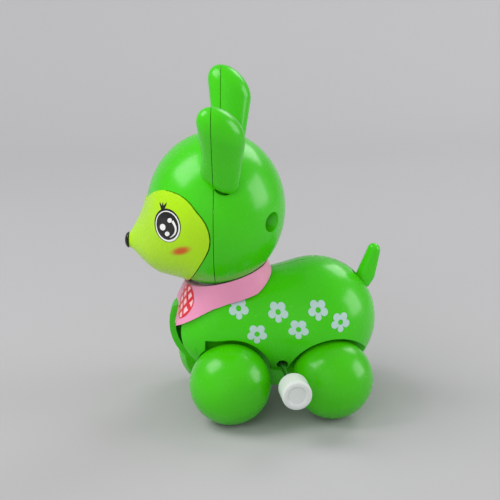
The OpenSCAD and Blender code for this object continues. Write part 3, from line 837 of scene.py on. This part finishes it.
@dataclass
class FawnHead:
    """The head's front and back shells, each with its half of both ears."""

    centre: tuple[float, float] = (-3.3, 22.2)
    turn: float = -10.5
    half: tuple[float, float, float] = (24.6, 27.2, 27.4)
    ear_half: float = 8.0
    ear_thick: float = 6.0
    ear_taper: float = 7.5
    ear_slope: float = 0.45
    ear_lean: float = 22.0
    ear_tip: tuple[float, float, float] = (3.4, 35.0, 43.5)
    ear_root: float = 24.0
    root_round: float = 4.0
    root_facet: float = 0.8
    root_splits: int = 6
    root_steps: int = 6
    root_near: float = 0.15
    root_fuller: float = 1.5
    root_reach: float = 14.0
    seam_x: float = 0.3

    def frame_of(self) -> Matrix:
        """Places the head's own frame, upright about its centre.

        Returns:
            The matrix from that frame to the row frame.
        """
        turned = NECK @ Matrix.Rotation(math.radians(self.turn), 4, "Z")
        upright = turned @ Matrix.Rotation(-NECK_TILT, 4, "Y")
        return upright @ Matrix.Translation((self.centre[0], 0, self.centre[1]))

    def ball(self, points: np.ndarray, grow: float = 0.0) -> np.ndarray:
        """Gives how far points of the head's frame lie outside its ball, roughly in millimetres.

        Args:
            points: Points in the head's frame.
            grow: How much larger the ball is.

        Returns:
            One value per point.
        """
        half = np.array(self.half) + grow
        near = np.linalg.norm(points / half, axis=1)
        slope = np.linalg.norm(points / half ** 2, axis=1)
        return near * (near - 1) / np.maximum(slope, TINY)

    def skin(self, points: np.ndarray) -> np.ndarray:
        """Gives how far points of the row frame lie outside the head's ball."""
        return self.ball(in_frame(points, self.frame_of()))

    def ear(self, side: Side, rounding: float, fuller: float = 0.0) -> Level:
        """Gives the level function of an ear, a flat tapering finger whose round tip rises to the front.

        Args:
            side: Its side.
            rounding: How far the edge of its root is rounded.
            fuller: How much wider its root is in front of the shells' seam, as a share.

        Returns:
            The level function.
        """
        tip = Matrix.Translation((self.ear_tip[0], side.value * self.ear_tip[1], self.ear_tip[2]))
        place = self.frame_of() @ tip @ Matrix.Rotation(math.radians(-side.value * self.ear_lean), 4, "X")
        taper = math.radians(self.ear_taper)

        def level(points: np.ndarray) -> np.ndarray:
            """Gives how far points lie outside the ear.

            Args:
                points: Points in the row frame.

            Returns:
                One value per point.
            """
            x, y, z = in_frame(points, place).T
            above = z + self.ear_slope * x + self.ear_half
            low = np.clip(1 - (above + self.ear_root) / self.root_reach, 0, 1)
            ahead = np.minimum(x - self.seam_x + self.ear_tip[0], 0)
            wide = x - ahead + ahead / (1 + fuller * low * low)
            across = np.hypot(wide, y * self.ear_half / self.ear_thick)
            cone = across * math.cos(taper) - above * math.sin(taper)
            on_cone = above * math.cos(taper) + across * math.sin(taper) < 0
            out = np.where(on_cone, cone, np.hypot(across, above)) - self.ear_half
            return soft_max(out, -above - self.ear_root, rounding)

        return level

    def shaped_ear(self, side: Side) -> Level:
        """Gives the level function of an ear whose root is rounded and filled out."""
        return self.ear(side, self.root_round, self.root_fuller)

    def refine(self, bm: bmesh.types.BMesh) -> None:
        """Rounds the ears' roots, which the node ends flat, and fills them out to the front.

        Args:
            bm: A copy of a shell's node.
        """
        for side in Side:
            level = self.shaped_ear(side)
            divide(bm, self.root_facet, self.root_splits, partial(self.root_verts, bm, side))
            root = self.root_verts(bm, side)
            points = points_of(root)
            on_ball = np.abs(self.skin(points)) < self.root_near
            for _ in range(self.root_steps):
                step = np.where(on_ball, np.maximum(level(points), 0), level(points))
                points = points - gradient(level, points) * step[:, None]
                drift = np.where(on_ball, self.skin(points), 0.0)
                points = points - gradient(self.skin, points) * drift[:, None]
            for vert, point in zip(root, points):
                vert.co = point * MM

    def root_verts(self, bm: bmesh.types.BMesh, side: Side) -> list[bmesh.types.BMVert]:
        """Finds the vertices that the shaping of an ear's root moves.

        Args:
            bm: A copy of a shell's node.
            side: The ear's side.

        Returns:
            Vertices on the ear's flat-ended form that lie off its shaped form and not inside the ball.
        """
        verts = list(bm.verts)
        points = points_of(verts)
        take = np.abs(self.ear(side, self.root_near)(points)) < self.root_near
        shaped = self.shaped_ear(side)(points)
        take &= (np.abs(shaped) > self.root_near / 4) & (self.skin(points) > -self.root_near)
        return [vert for vert, chosen in zip(verts, take) if chosen]

    def build(self) -> None:
        """Builds both shells."""
        for node in ("head_front_shell", "head_back_shell"):
            levels = [self.skin, *(self.shaped_ear(side) for side in Side)]
            polished(node, GREEN_ABS, "head", levels, self.refine)


@dataclass
class FaceMask:
    """The lime face: the head's ball drawn out into a drooping muzzle, with a soft hollow between them."""

    head: FawnHead
    proud: float = 0.4
    nose_x: float = -31.2
    nose_z: float = -12.4
    droop: float = 0.49
    tip_r: float = 2.6
    flare: float = 20.2
    flare_len: float = 10.0
    flare_power: float = 1.35
    flare_cos: float = math.sqrt(0.5)
    hollow: float = 3.2
    sag: float = 0.62
    gap: float = 0.28
    facet: float = 0.9
    least_facet: float = 0.15
    splits: int = 5
    stride: float = 0.6
    strides: int = 5
    edge_lean: float = 0.5
    evening: float = 0.5
    evenings: int = 4
    rim_evenings: int = 14

    def muzzle(self, points: np.ndarray) -> np.ndarray:
        """Gives how far points of the head's frame lie outside the muzzle, roughly in millimetres.

        Args:
            points: Points in the head's frame.

        Returns:
            One value per point.
        """
        x, y, z = points.T
        back = x - self.nose_x
        swell = (np.maximum(back, 0) / self.flare_len) ** self.flare_power
        reach = self.tip_r + self.flare * (1 - np.exp(-swell))
        out = np.hypot(y, z - self.nose_z - self.droop * back)
        return np.maximum((out - reach) * self.flare_cos, -back)

    def level(self, points: np.ndarray) -> np.ndarray:
        """Gives how far points of the row frame lie outside the mask, with the hollow filled softly.

        Args:
            points: Points in the row frame.

        Returns:
            One value per point.
        """
        local = in_frame(points, self.head.frame_of())
        ball = self.head.ball(local, self.proud)
        return -soft_max(-ball, -self.muzzle(local), self.hollow)

    def settle(self, verts: Sequence[bmesh.types.BMVert]) -> None:
        """Moves vertices onto the soft form.

        Args:
            verts: Vertices near it, in metres.
        """
        points = points_of(verts)
        for _ in range(self.strides):
            step = np.clip(self.level(points), -self.stride, self.stride)
            points = points - gradient(self.level, points) * step[:, None]
        for vert, point in zip(verts, points):
            vert.co = point * MM

    def facing(self, faces: Sequence[bmesh.types.BMFace]) -> list[float]:
        """Compares faces with the soft form.

        Args:
            faces: Faces near it, in metres.

        Returns:
            The cosine between each face's normal and the form's.
        """
        middles = np.array([face.calc_center_median() for face in faces]) / MM
        outward = gradient(self.level, middles)
        return [face.normal.dot(Vector(out)) for face, out in zip(faces, outward)]

    def draw_in(self, bm: bmesh.types.BMesh) -> None:
        """Draws the mask's edge in from the shell, so that the joint between them shows as a fine dark line.

        Args:
            bm: The mask.
        """
        faces = list(bm.faces)
        edge = [face for face, cosine in zip(faces, self.facing(faces)) if abs(cosine) < self.edge_lean]
        moves: dict[bmesh.types.BMVert, Vector] = {}
        for face in edge:
            for vert in face.verts:
                moves[vert] = moves.get(vert, Vector()) + face.normal * face.calc_area()
        for vert, move in moves.items():
            vert.co -= move.normalized() * self.gap * MM
        side = set(edge)
        rim = [line for line in bm.edges if len({face in side for face in line.link_faces}) == 2]
        for _ in range(self.rim_evenings):
            means: dict[bmesh.types.BMVert, list[Vector]] = {}
            for line in rim:
                for vert in line.verts:
                    means.setdefault(vert, []).append(line.other_vert(vert).co.copy())
            for vert, near in means.items():
                vert.co = vert.co.lerp(sum(near, Vector()) / len(near), self.evening)

    def build(self) -> bpy.types.Object:
        """Builds the mask on a finely divided copy of its node, moved onto the soft form and evened out.

        Returns:
            The mask.
        """
        bm = merged_copy("face_mask")
        divide(bm, self.facet, self.splits)
        bmesh.ops.remove_doubles(bm, verts=bm.verts, dist=self.least_facet * MM)
        local = in_frame(points_of(bm.verts), self.head.frame_of())
        depth = np.minimum(self.head.ball(local, self.proud), self.muzzle(local))
        outer = {vert for vert, out in zip(bm.verts, depth) if out > -self.sag}
        free = [vert for vert in outer if all(edge.other_vert(vert) in outer for edge in vert.link_edges)]
        self.draw_in(bm)
        self.settle(list(outer))
        for _ in range(self.evenings):
            bmesh.ops.smooth_vert(
                bm, verts=free, factor=self.evening, use_axis_x=True, use_axis_y=True, use_axis_z=True
            )
            self.settle(free)
        bm.normal_update()
        skin = [face for face in bm.faces if outer.issuperset(face.verts)]
        for face, cosine in zip(skin, self.facing(skin)):
            if cosine < 0:
                face.normal_flip()
        mask = moulding(bm, "face_mask", FACE_ABS, "head")
        shade(mask.data, [self.level], lean=0.0)
        return mask


@dataclass
class NoseButton:
    """The black nose, pressed into the end of the muzzle."""

    sharp: float = 40.0

    def build(self) -> None:
        """Builds the nose."""
        nose = moulding(merged_copy("nose_button"), "nose_button", NOSE_ABS, "head")
        smooth_by_angle(nose, self.sharp)


@dataclass
class NeckScarf:
    """The pink collar round the neck, with its point over the chest notch."""

    flat: float = 35.0
    skew: float = 60.0
    sharp: float = 50.0

    def build(self) -> bpy.types.Object:
        """Builds the scarf on its node, whose triangles are joined where they lie nearly flat.

        Returns:
            The scarf.
        """
        bm = merged_copy("collar_scarf")
        bmesh.ops.join_triangles(
            bm,
            faces=bm.faces,
            angle_face_threshold=math.radians(self.flat),
            angle_shape_threshold=math.radians(self.skew),
        )
        scarf = moulding(bm, "collar_scarf", SCARF_ABS, "chassis")
        smooth_by_angle(scarf, self.sharp)
        return scarf


@dataclass
class WindingKnob:
    """The white knob on its steel shaft, with a dished end and rounded edges."""

    radius: float = 5.2
    length: float = 9.5
    edge: float = 1.1
    edge_steps: int = 8
    dish_r: float = 2.9
    dish: float = 0.6
    sharp: float = 35.0

    def build(self) -> None:
        """Builds the knob from its end inwards."""
        low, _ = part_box("winding_knob")
        axis = joint_place("key_turn")
        inner, back = self.radius - self.edge, self.length - self.edge
        bend = [(self.edge * math.sin(a), self.edge * math.cos(a)) for a in arc(0, 90, self.edge_steps)]
        profile = [(0.0, self.dish), (self.dish_r, self.dish)]
        profile += [(self.dish_r + self.dish / 2, self.dish / 2), (self.dish_r + self.dish, 0.0)]
        profile += [(inner + sine, self.edge - cosine) for sine, cosine in bend]
        profile += [(inner + cosine, back + sine) for sine, cosine in bend]
        profile += [(0.0, self.length)]
        place = Matrix.Translation((axis.x, low.y / MM, axis.z)) @ Matrix.Rotation(-math.pi / 2, 4, "X")
        knob = moulding(revolved(profile, place), "winding_knob", KNOB_ABS, "winding_key")
        smooth_by_angle(knob, self.sharp)


@dataclass
class TailHorn:
    """The tail, a horn on a hub inside the rump, fuller at its root and slightly bowed."""

    body: BodyShells
    swell: float = 0.3
    bow: float = 0.9
    clear: float = 0.4
    ramp: float = 2.6
    facet: float = 1.0
    splits: int = 5

    def build(self) -> None:
        """Builds the tail on a finely divided copy of its node."""
        bm = merged_copy("tail")
        divide(bm, self.facet, self.splits)
        points = points_of(bm.verts)
        out = self.body.level(points)
        horn = out > self.clear
        slope, start = np.polyfit(points[horn, 2], points[horn, 0], 1)
        along = np.clip((out - self.clear) / (out.max() - self.clear), 0, 1)
        free = np.clip((out - self.clear) / self.ramp, 0, 1)
        aside = points[:, 0] - start - slope * points[:, 2]
        placed = points[:, 0] + free * (1 - along) * (aside * self.swell + self.bow)
        for vert, x in zip(bm.verts, np.minimum(placed, points[:, 0].max())):
            vert.co.x = x * MM
        smooth_by_angle(moulding(bm, "tail", GREEN_ABS, "tail_lever"))


Outline = Callable[[float], float]
Place = Callable[[float, float], Vector]


def round_print(
    outline: Outline = lambda angle: 1.0, hole: float = 0.0, rings: int = 6, steps: int = 96
) -> bmesh.types.BMesh:
    """Draws a flat print round its middle.

    Args:
        outline: Its outer radius by angle, in radians.
        hole: Radius of the bare place in its middle.
        rings: Rows of faces from the hole to the rim.
        steps: Faces round it.

    Returns:
        A bmesh in the print's plane, with UV maps of its place and of its reach towards the rim.
    """
    bm = bmesh.new()
    bmesh.ops.create_grid(bm, x_segments=steps, y_segments=rings, size=1.0)
    for vert in bm.verts:
        angle = math.pi * (vert.co.x + 1)
        radius = hole + (outline(angle) - hole) * (vert.co.y + 1) / 2
        vert.co = (radius * math.cos(angle), radius * math.sin(angle), 0.0)
    bmesh.ops.remove_doubles(bm, verts=bm.verts, dist=MERGE)
    place, reach = bm.loops.layers.uv.new("print"), bm.loops.layers.uv.new("reach")
    for loop in (loop for face in bm.faces for loop in face.loops):
        spot = loop.vert.co.xy
        loop[place].uv = spot
        loop[reach].uv = spot / outline(math.atan2(spot.y, spot.x) % (2 * math.pi))
    return bm


def ribbon_print(
    start: Vector, bend: Vector, end: Vector, half: float, blunt: float = 0.02, steps: int = 24
) -> bmesh.types.BMesh:
    """Draws a flat ribbon along a curve, tapering to its end.

    Args:
        start: Where it starts.
        bend: The point that its curve leans towards.
        end: Where it ends.
        half: Half its greatest width.
        blunt: Share of it, at its end, that no longer tapers.
        steps: Faces along it.

    Returns:
        A bmesh in the print's plane.
    """
    bm = bmesh.new()
    bmesh.ops.create_grid(bm, x_segments=steps, y_segments=2, size=1.0)
    for vert in bm.verts:
        t = (vert.co.x + 1) / 2
        along = (bend - start) * (1 - t) + (end - bend) * t
        middle = start * (1 - t) ** 2 + bend * 2 * t * (1 - t) + end * t * t
        wide = vert.co.y * half * math.sqrt(max(blunt, 1 - t))
        across = Vector((-along.y, along.x)).normalized() * wide
        vert.co = (middle + across).to_3d()
    return bm


def surface_of(piece: bpy.types.Object) -> BVHTree:
    """Gives a search tree of a piece's surface, on the triangles that a render shows.

    Args:
        piece: The piece.

    Returns:
        The tree, in metres.
    """
    mesh = piece.data
    mesh.calc_loop_triangles()
    corners = [part.vertices for part in mesh.loop_triangles]
    return BVHTree.FromPolygons([vert.co for vert in mesh.vertices], corners)


def cast(tree: BVHTree, start: Vector, aim: Vector, lift: float) -> Vector:
    """Finds where a ray meets a surface.

    Args:
        tree: The surface.
        start: Where the ray starts, in millimetres.
        aim: Its direction.
        lift: How far outside the surface the answer lies.

    Returns:
        The place, in millimetres.
    """
    spot, normal, _, _ = tree.ray_cast(start * MM, aim)
    outward = normal if normal.dot(aim) < 0 else -normal
    return spot / MM + outward * lift


def printed(bm: bmesh.types.BMesh, place: Place, name: str, finish: Finish, body: str) -> None:
    """Lays a flat print on a surface.

    Args:
        bm: The print in its plane.
        place: Gives the place on the surface of each point of the plane, in millimetres.
        name: The print's name.
        finish: Its ink.
        body: The body that it rides on.
    """
    for vert in bm.verts:
        vert.co = place(vert.co.x, vert.co.y) * MM
    bmesh.ops.recalc_face_normals(bm, faces=bm.faces)
    finished(bm, name, finish, body).data.shade_smooth()


@dataclass
class FlankFlowers:
    """Five-petal flowers printed along both flanks of the body."""

    body: BodyShells
    places: tuple[tuple[float, float], ...] = (
        (-14.9, 41.3), (-1.2, 40.1), (12.6, 41.1), (20.5, 36.5), (-8.8, 32.5), (5.6, 34.3),
    )
    beside_screw: int = 4
    screw_shift: float = 2.3
    petals: int = 5
    petal_r: float = 1.38
    petal_at: float = 2.2
    low_petal_r: float = 1.1
    low_petal_at: float = 2.45
    eye_r: float = 0.93
    neck_r: float = 1.75
    lift: float = 0.05

    def outline(self, angle: float) -> float:
        """Gives a flower's outer radius, with one slim petal straight down.

        Args:
            angle: Angle round the flower in radians.

        Returns:
            The radius there.
        """
        step = 2 * math.pi / self.petals
        count, off = divmod(angle + math.pi / 2 + step / 2, step)
        low = count % self.petals == 0
        out, radius = (self.low_petal_at, self.low_petal_r) if low else (self.petal_at, self.petal_r)
        side = out * math.sin(off - step / 2)
        if abs(side) >= radius:
            return self.neck_r
        return max(self.neck_r, out * math.cos(off - step / 2) + math.sqrt(radius ** 2 - side ** 2))

    def on_flank(self, centre: tuple[float, float], side: Side) -> Place:
        """Gives the place on a flank of each point of a flower's plane.

        Args:
            centre: The flower's middle, along the body and above the floor.
            side: The flank.

        Returns:
            The function.
        """
        def place(u: float, v: float) -> Vector:
            """Finds one place.

            Args:
                u: Place across the flower's plane.
                v: Place up it.

            Returns:
                The place on the flank, in millimetres.
            """
            x, z = centre[0] + u, centre[1] + v
            y = self.body.half_width(x, z, self.lift)
            return Vector((MIDDLE.x + x, MIDDLE.y + side.value * y, z))

        return place

    def build(self) -> None:
        """Prints the flowers on both sides."""
        for side in Side:
            for count, centre in enumerate(self.places):
                if side is Side.RIGHT and count == self.beside_screw:
                    centre = (centre[0] + self.screw_shift, centre[1])
                name = f"flower_{side.name.lower()}_{count + 1}"
                flower = round_print(self.outline, self.eye_r)
                printed(flower, self.on_flank(centre, side), name, PETAL_INK, "chassis")


@dataclass
class FacePrints:
    """Eyes, lashes and cheeks printed on both sides of the face mask."""

    mask: FaceMask
    skin: bpy.types.Object
    eye_at: tuple[float, float] = (-15.5, 0.07)
    eye_across: tuple[float, float] = (4.5, 2.85)
    eye_up: tuple[float, float] = (-1.85, 5.25)
    cheek_at: tuple[float, float] = (-10.9, -8.24)
    cheek_across: tuple[float, float] = (4.7, 2.45)
    cheek_up: tuple[float, float] = (-1.1, 1.85)
    layer: float = 0.03
    rims: tuple[tuple[str, Finish, float, float], ...] = (
        ("rim", BLACK_INK, 1.0, 0.0),
        ("ring", WHITE_INK, 0.92, -0.045),
        ("iris", BLACK_INK, 0.83, -0.01),
        ("pupil", IRIS_INK, 0.5, 0.0),
    )
    rim_rings: int = 10
    glints: tuple[tuple[float, float, float, float], ...] = (
        (0.32, 0.255, 0.17, 0.13), (-0.35, 0.03, 0.22, 0.19), (-0.18, -0.43, 0.18, 0.14),
    )
    sweep: tuple[tuple[float, float], ...] = ((0.49, 0.16), (0.8, -0.62), (-0.09, -0.7))
    sweep_half: float = 0.085
    lash_root: tuple[float, float] = (0.01, 0.96)
    lash_tips: tuple[tuple[float, float], ...] = ((-0.07, 1.375), (0.17, 1.32), (0.455, 1.235))
    lash_half: float = 0.1
    tree: BVHTree = field(init=False)

    def __post_init__(self) -> None:
        """Reads the mask's surface."""
        self.tree = surface_of(self.skin)

    def on_mask(self, side: Side, middle: Vector, across: Vector, up: Vector, layer: int) -> Place:
        """Gives the place on the mask of each point of a print's plane, seen square from the side.

        Args:
            side: The side of the face.
            middle: The print's middle, in the head's frame.
            across: Its first axis.
            up: Its second axis.
            layer: How many layers of ink lie on the plastic.

        Returns:
            The function.
        """
        head = self.mask.head.frame_of()
        aim = head.to_3x3() @ Vector((0, -side.value, 0))

        def place(u: float, v: float) -> Vector:
            """Finds one place.

            Args:
                u: Place across the print's plane.
                v: Place up it.

            Returns:
                The place on the mask, in millimetres.
            """
            spot = middle + across * u + up * v
            start = head @ Vector((spot.x, side.value * self.mask.head.half[1] * 2, spot.y))
            return cast(self.tree, start, aim, layer * self.layer)

        return place

    def eye(self, side: Side) -> None:
        """Prints one eye with its lashes.

        Args:
            side: The side of the face.
        """
        middle, across, up = (Vector(axis) for axis in (self.eye_at, self.eye_across, self.eye_up))
        tag = side.name.lower()
        for layer, (part, ink, reach, rise) in enumerate(self.rims, 1):
            place = self.on_mask(side, middle + up * rise, across * reach, up * reach, layer)
            printed(round_print(rings=self.rim_rings), place, f"eye_{part}_{tag}", ink, "head")
        top = len(self.rims) + 1
        for count, (u, v, wide, tall) in enumerate(self.glints, 1):
            place = self.on_mask(side, middle + across * u + up * v, across * wide, up * tall, top)
            printed(round_print(), place, f"eye_glint_{count}_{tag}", WHITE_INK, "head")
        sweep = ribbon_print(*(Vector(point) for point in self.sweep), self.sweep_half)
        printed(sweep, self.on_mask(side, middle, across, up, top), f"eye_sweep_{tag}", WHITE_INK, "head")
        root = Vector(self.lash_root)
        place = self.on_mask(side, middle, across, up, 1)
        for count, tip in enumerate(self.lash_tips, 1):
            lash = ribbon_print(root, (root + Vector(tip)) / 2, Vector(tip), self.lash_half)
            printed(lash, place, f"lash_{count}_{tag}", BLACK_INK, "head")

    def build(self) -> None:
        """Prints both sides of the face."""
        for side in Side:
            self.eye(side)
            middle, across, up = (Vector(axis) for axis in (self.cheek_at, self.cheek_across, self.cheek_up))
            place = self.on_mask(side, middle, across, up, 1)
            printed(round_print(), place, f"cheek_{side.name.lower()}", CHEEK_INK, "head")


@dataclass
class ScarfCheck:
    """The check patch printed on the scarf's left front."""

    skin: bpy.types.Object
    turn: float = -19.6
    drop: float = -5.7
    radius: float = 17.5
    half_wide: float = 5.6
    half_tall: float = 4.9
    lift: float = 0.1
    rings: int = 20
    steps: int = 160

    def outline(self, angle: float) -> float:
        """Gives the patch's radius by angle, as an ellipse."""
        return 1 / math.hypot(math.cos(angle) / self.half_wide, math.sin(angle) / self.half_tall)

    def build(self) -> None:
        """Prints the patch."""
        tree = surface_of(self.skin)

        def place(u: float, v: float) -> Vector:
            """Finds one place, looking in at the neck's axis.

            Args:
                u: Place across the patch's plane.
                v: Place up it.

            Returns:
                The place on the scarf, in millimetres.
            """
            angle = math.radians(self.turn) + u / self.radius
            out = Vector((-math.cos(angle), math.sin(angle), 0))
            start = NECK @ (out * self.radius * 2 + Vector((0, 0, self.drop + v)))
            return cast(tree, start, NECK.to_3x3() @ -out, self.lift)

        patch = round_print(self.outline, rings=self.rings, steps=self.steps)
        printed(patch, place, "scarf_check", CHECK_INK, "chassis")


@dataclass
class InnerWorks:
    """Pieces that keep their CAD form: screws, axles, clockwork, neck and belly plate."""

    finishes: tuple[tuple[Finish, tuple[str, ...]], ...] = (
        (STEEL, (
            "body_screws", "belly_screws", "head_screws", "neck_screw", "rear_axle_rod", "front_axle_rod",
            "winding_arbor", "tail_pin", "motor_pillars", "mainspring",
        )),
        (BRASS, ("great_wheel", "idler_gear", "escape_wheel", "pallet", "axle_pinion")),
        (MOTOR_ABS, ("motor_left_plate", "motor_right_plate")),
        (KNOB_ABS, ("tail_cam", "neck_bush", "neck_post", "neck_retainer")),
        (WHEEL_ABS, ("belly_plate",)),
    )

    def build(self) -> None:
        """Gives each node its finish."""
        for finish, names in self.finishes:
            for name in names:
                for slot in frame["nodes"][name].material_slots:
                    slot.material = material_of(finish)
                log.info("%s: %s", name, finish.name)


@dataclass(frozen=True)
class Softbox:
    """A square soft lamp aimed at the toy."""

    name: str
    place: tuple[float, float, float]
    size: float
    power: float
    mirrored: bool = True


@dataclass
class Studio:
    """Grey sweep, soft lamps and the photographer's camera."""

    aim: tuple[float, float, float] = (-8.6, 0.0, 58.1)
    distance: float = 504.0
    azimuth: float = -8.5
    elevation: float = 16.5
    lens: float = 100.8
    sensor: float = 36.0
    half_width: float = 1600.0
    front: float = -900.0
    back: float = 420.0
    curve: float = 300.0
    curve_steps: int = 24
    height: float = 1500.0
    world: float = 0.45
    lamps: tuple[Softbox, ...] = (
        Softbox("left softbox", (-600, 60, 740), 560, 5.0),
        Softbox("right softbox", (760, -140, 320), 460, 2.7),
        Softbox("rear softbox", (480, 460, 600), 380, 1.8),
        Softbox("front fill", (-520, -880, 460), 900, 5.4, mirrored=False),
    )

    def target(self) -> Vector:
        """Gives the point that the camera looks at, in metres."""
        return (MIDDLE + Vector(self.aim)) * MM

    def camera(self) -> None:
        """Places the camera as fitted to the photo."""
        data = bpy.data.cameras.new("camera")
        data.lens, data.sensor_width = self.lens, self.sensor
        camera = new_object("camera", data)
        turn, rise = math.radians(self.azimuth), math.radians(self.elevation)
        away = Vector((math.sin(turn) * math.cos(rise), -math.cos(turn) * math.cos(rise), math.sin(rise)))
        camera.location = self.target() + away * self.distance * MM
        camera.rotation_euler = away.to_track_quat("Z", "Y").to_euler()
        bpy.context.scene.camera = camera

    def lights(self) -> None:
        """Hangs the lamps and sets a dim even world."""
        for lamp in self.lamps:
            data = bpy.data.lights.new(lamp.name, "AREA")
            data.shape, data.size, data.energy = "SQUARE", lamp.size * MM, lamp.power
            light = new_object(lamp.name, data)
            light.visible_glossy = lamp.mirrored
            light.location = (MIDDLE + Vector(lamp.place)) * MM
            light.rotation_euler = (light.location - self.target()).to_track_quat("Z", "Y").to_euler()
        world = bpy.data.worlds.new("studio")
        world.use_nodes = True
        sky = world.node_tree.nodes["Background"].inputs
        sky["Color"].default_value = (1.0, 1.0, 1.0, 1.0)
        sky["Strength"].default_value = self.world
        bpy.context.scene.world = world

    def sweep(self) -> None:
        """Lays the floor and curves it up behind the toy."""
        bm = bmesh.new()
        outline = [(self.front, 0.0)]
        outline += [
            (self.back + self.curve * math.sin(a), self.curve * (1 - math.cos(a)))
            for a in arc(0, 90, self.curve_steps)
        ]
        outline += [(self.back + self.curve, self.height)]
        verts = [bm.verts.new((-self.half_width, y, z)) for y, z in outline]
        edges = [bm.edges.new(pair) for pair in zip(verts, verts[1:])]
        grown = bmesh.ops.extrude_edge_only(bm, edges=edges)["geom"]
        moved = [vert for vert in grown if isinstance(vert, bmesh.types.BMVert)]
        bmesh.ops.translate(bm, verts=moved, vec=(2 * self.half_width, 0, 0))
        bmesh.ops.scale(bm, verts=bm.verts, vec=(MM, MM, MM))
        mesh = bpy.data.meshes.new("sweep")
        bm.to_mesh(mesh)
        bm.free()
        mesh.shade_smooth()
        mesh.materials.append(material_of(PAPER))
        floor = new_object("sweep", mesh)

    def build(self) -> None:
        """Sets the studio up."""
        self.camera()
        self.lights()
        self.sweep()
        bpy.context.scene.view_settings.view_transform = "Standard"


def main() -> None:
    """Builds the toy, prints its faces and flowers, and lights it."""
    logging.basicConfig(level=logging.INFO, format="%(message)s")
    wheels, head = BallWheels(), FawnHead()
    body, mask = BodyShells(wheels), FaceMask(head)
    InnerWorks().build()
    body.build()
    wheels.build()
    head.build()
    face = mask.build()
    NoseButton().build()
    scarf = NeckScarf().build()
    WindingKnob().build()
    TailHorn(body).build()
    FlankFlowers(body).build()
    FacePrints(mask, face).build()
    ScarfCheck(scarf).build()
    Studio().build()


if __name__ == "__main__":
    main()
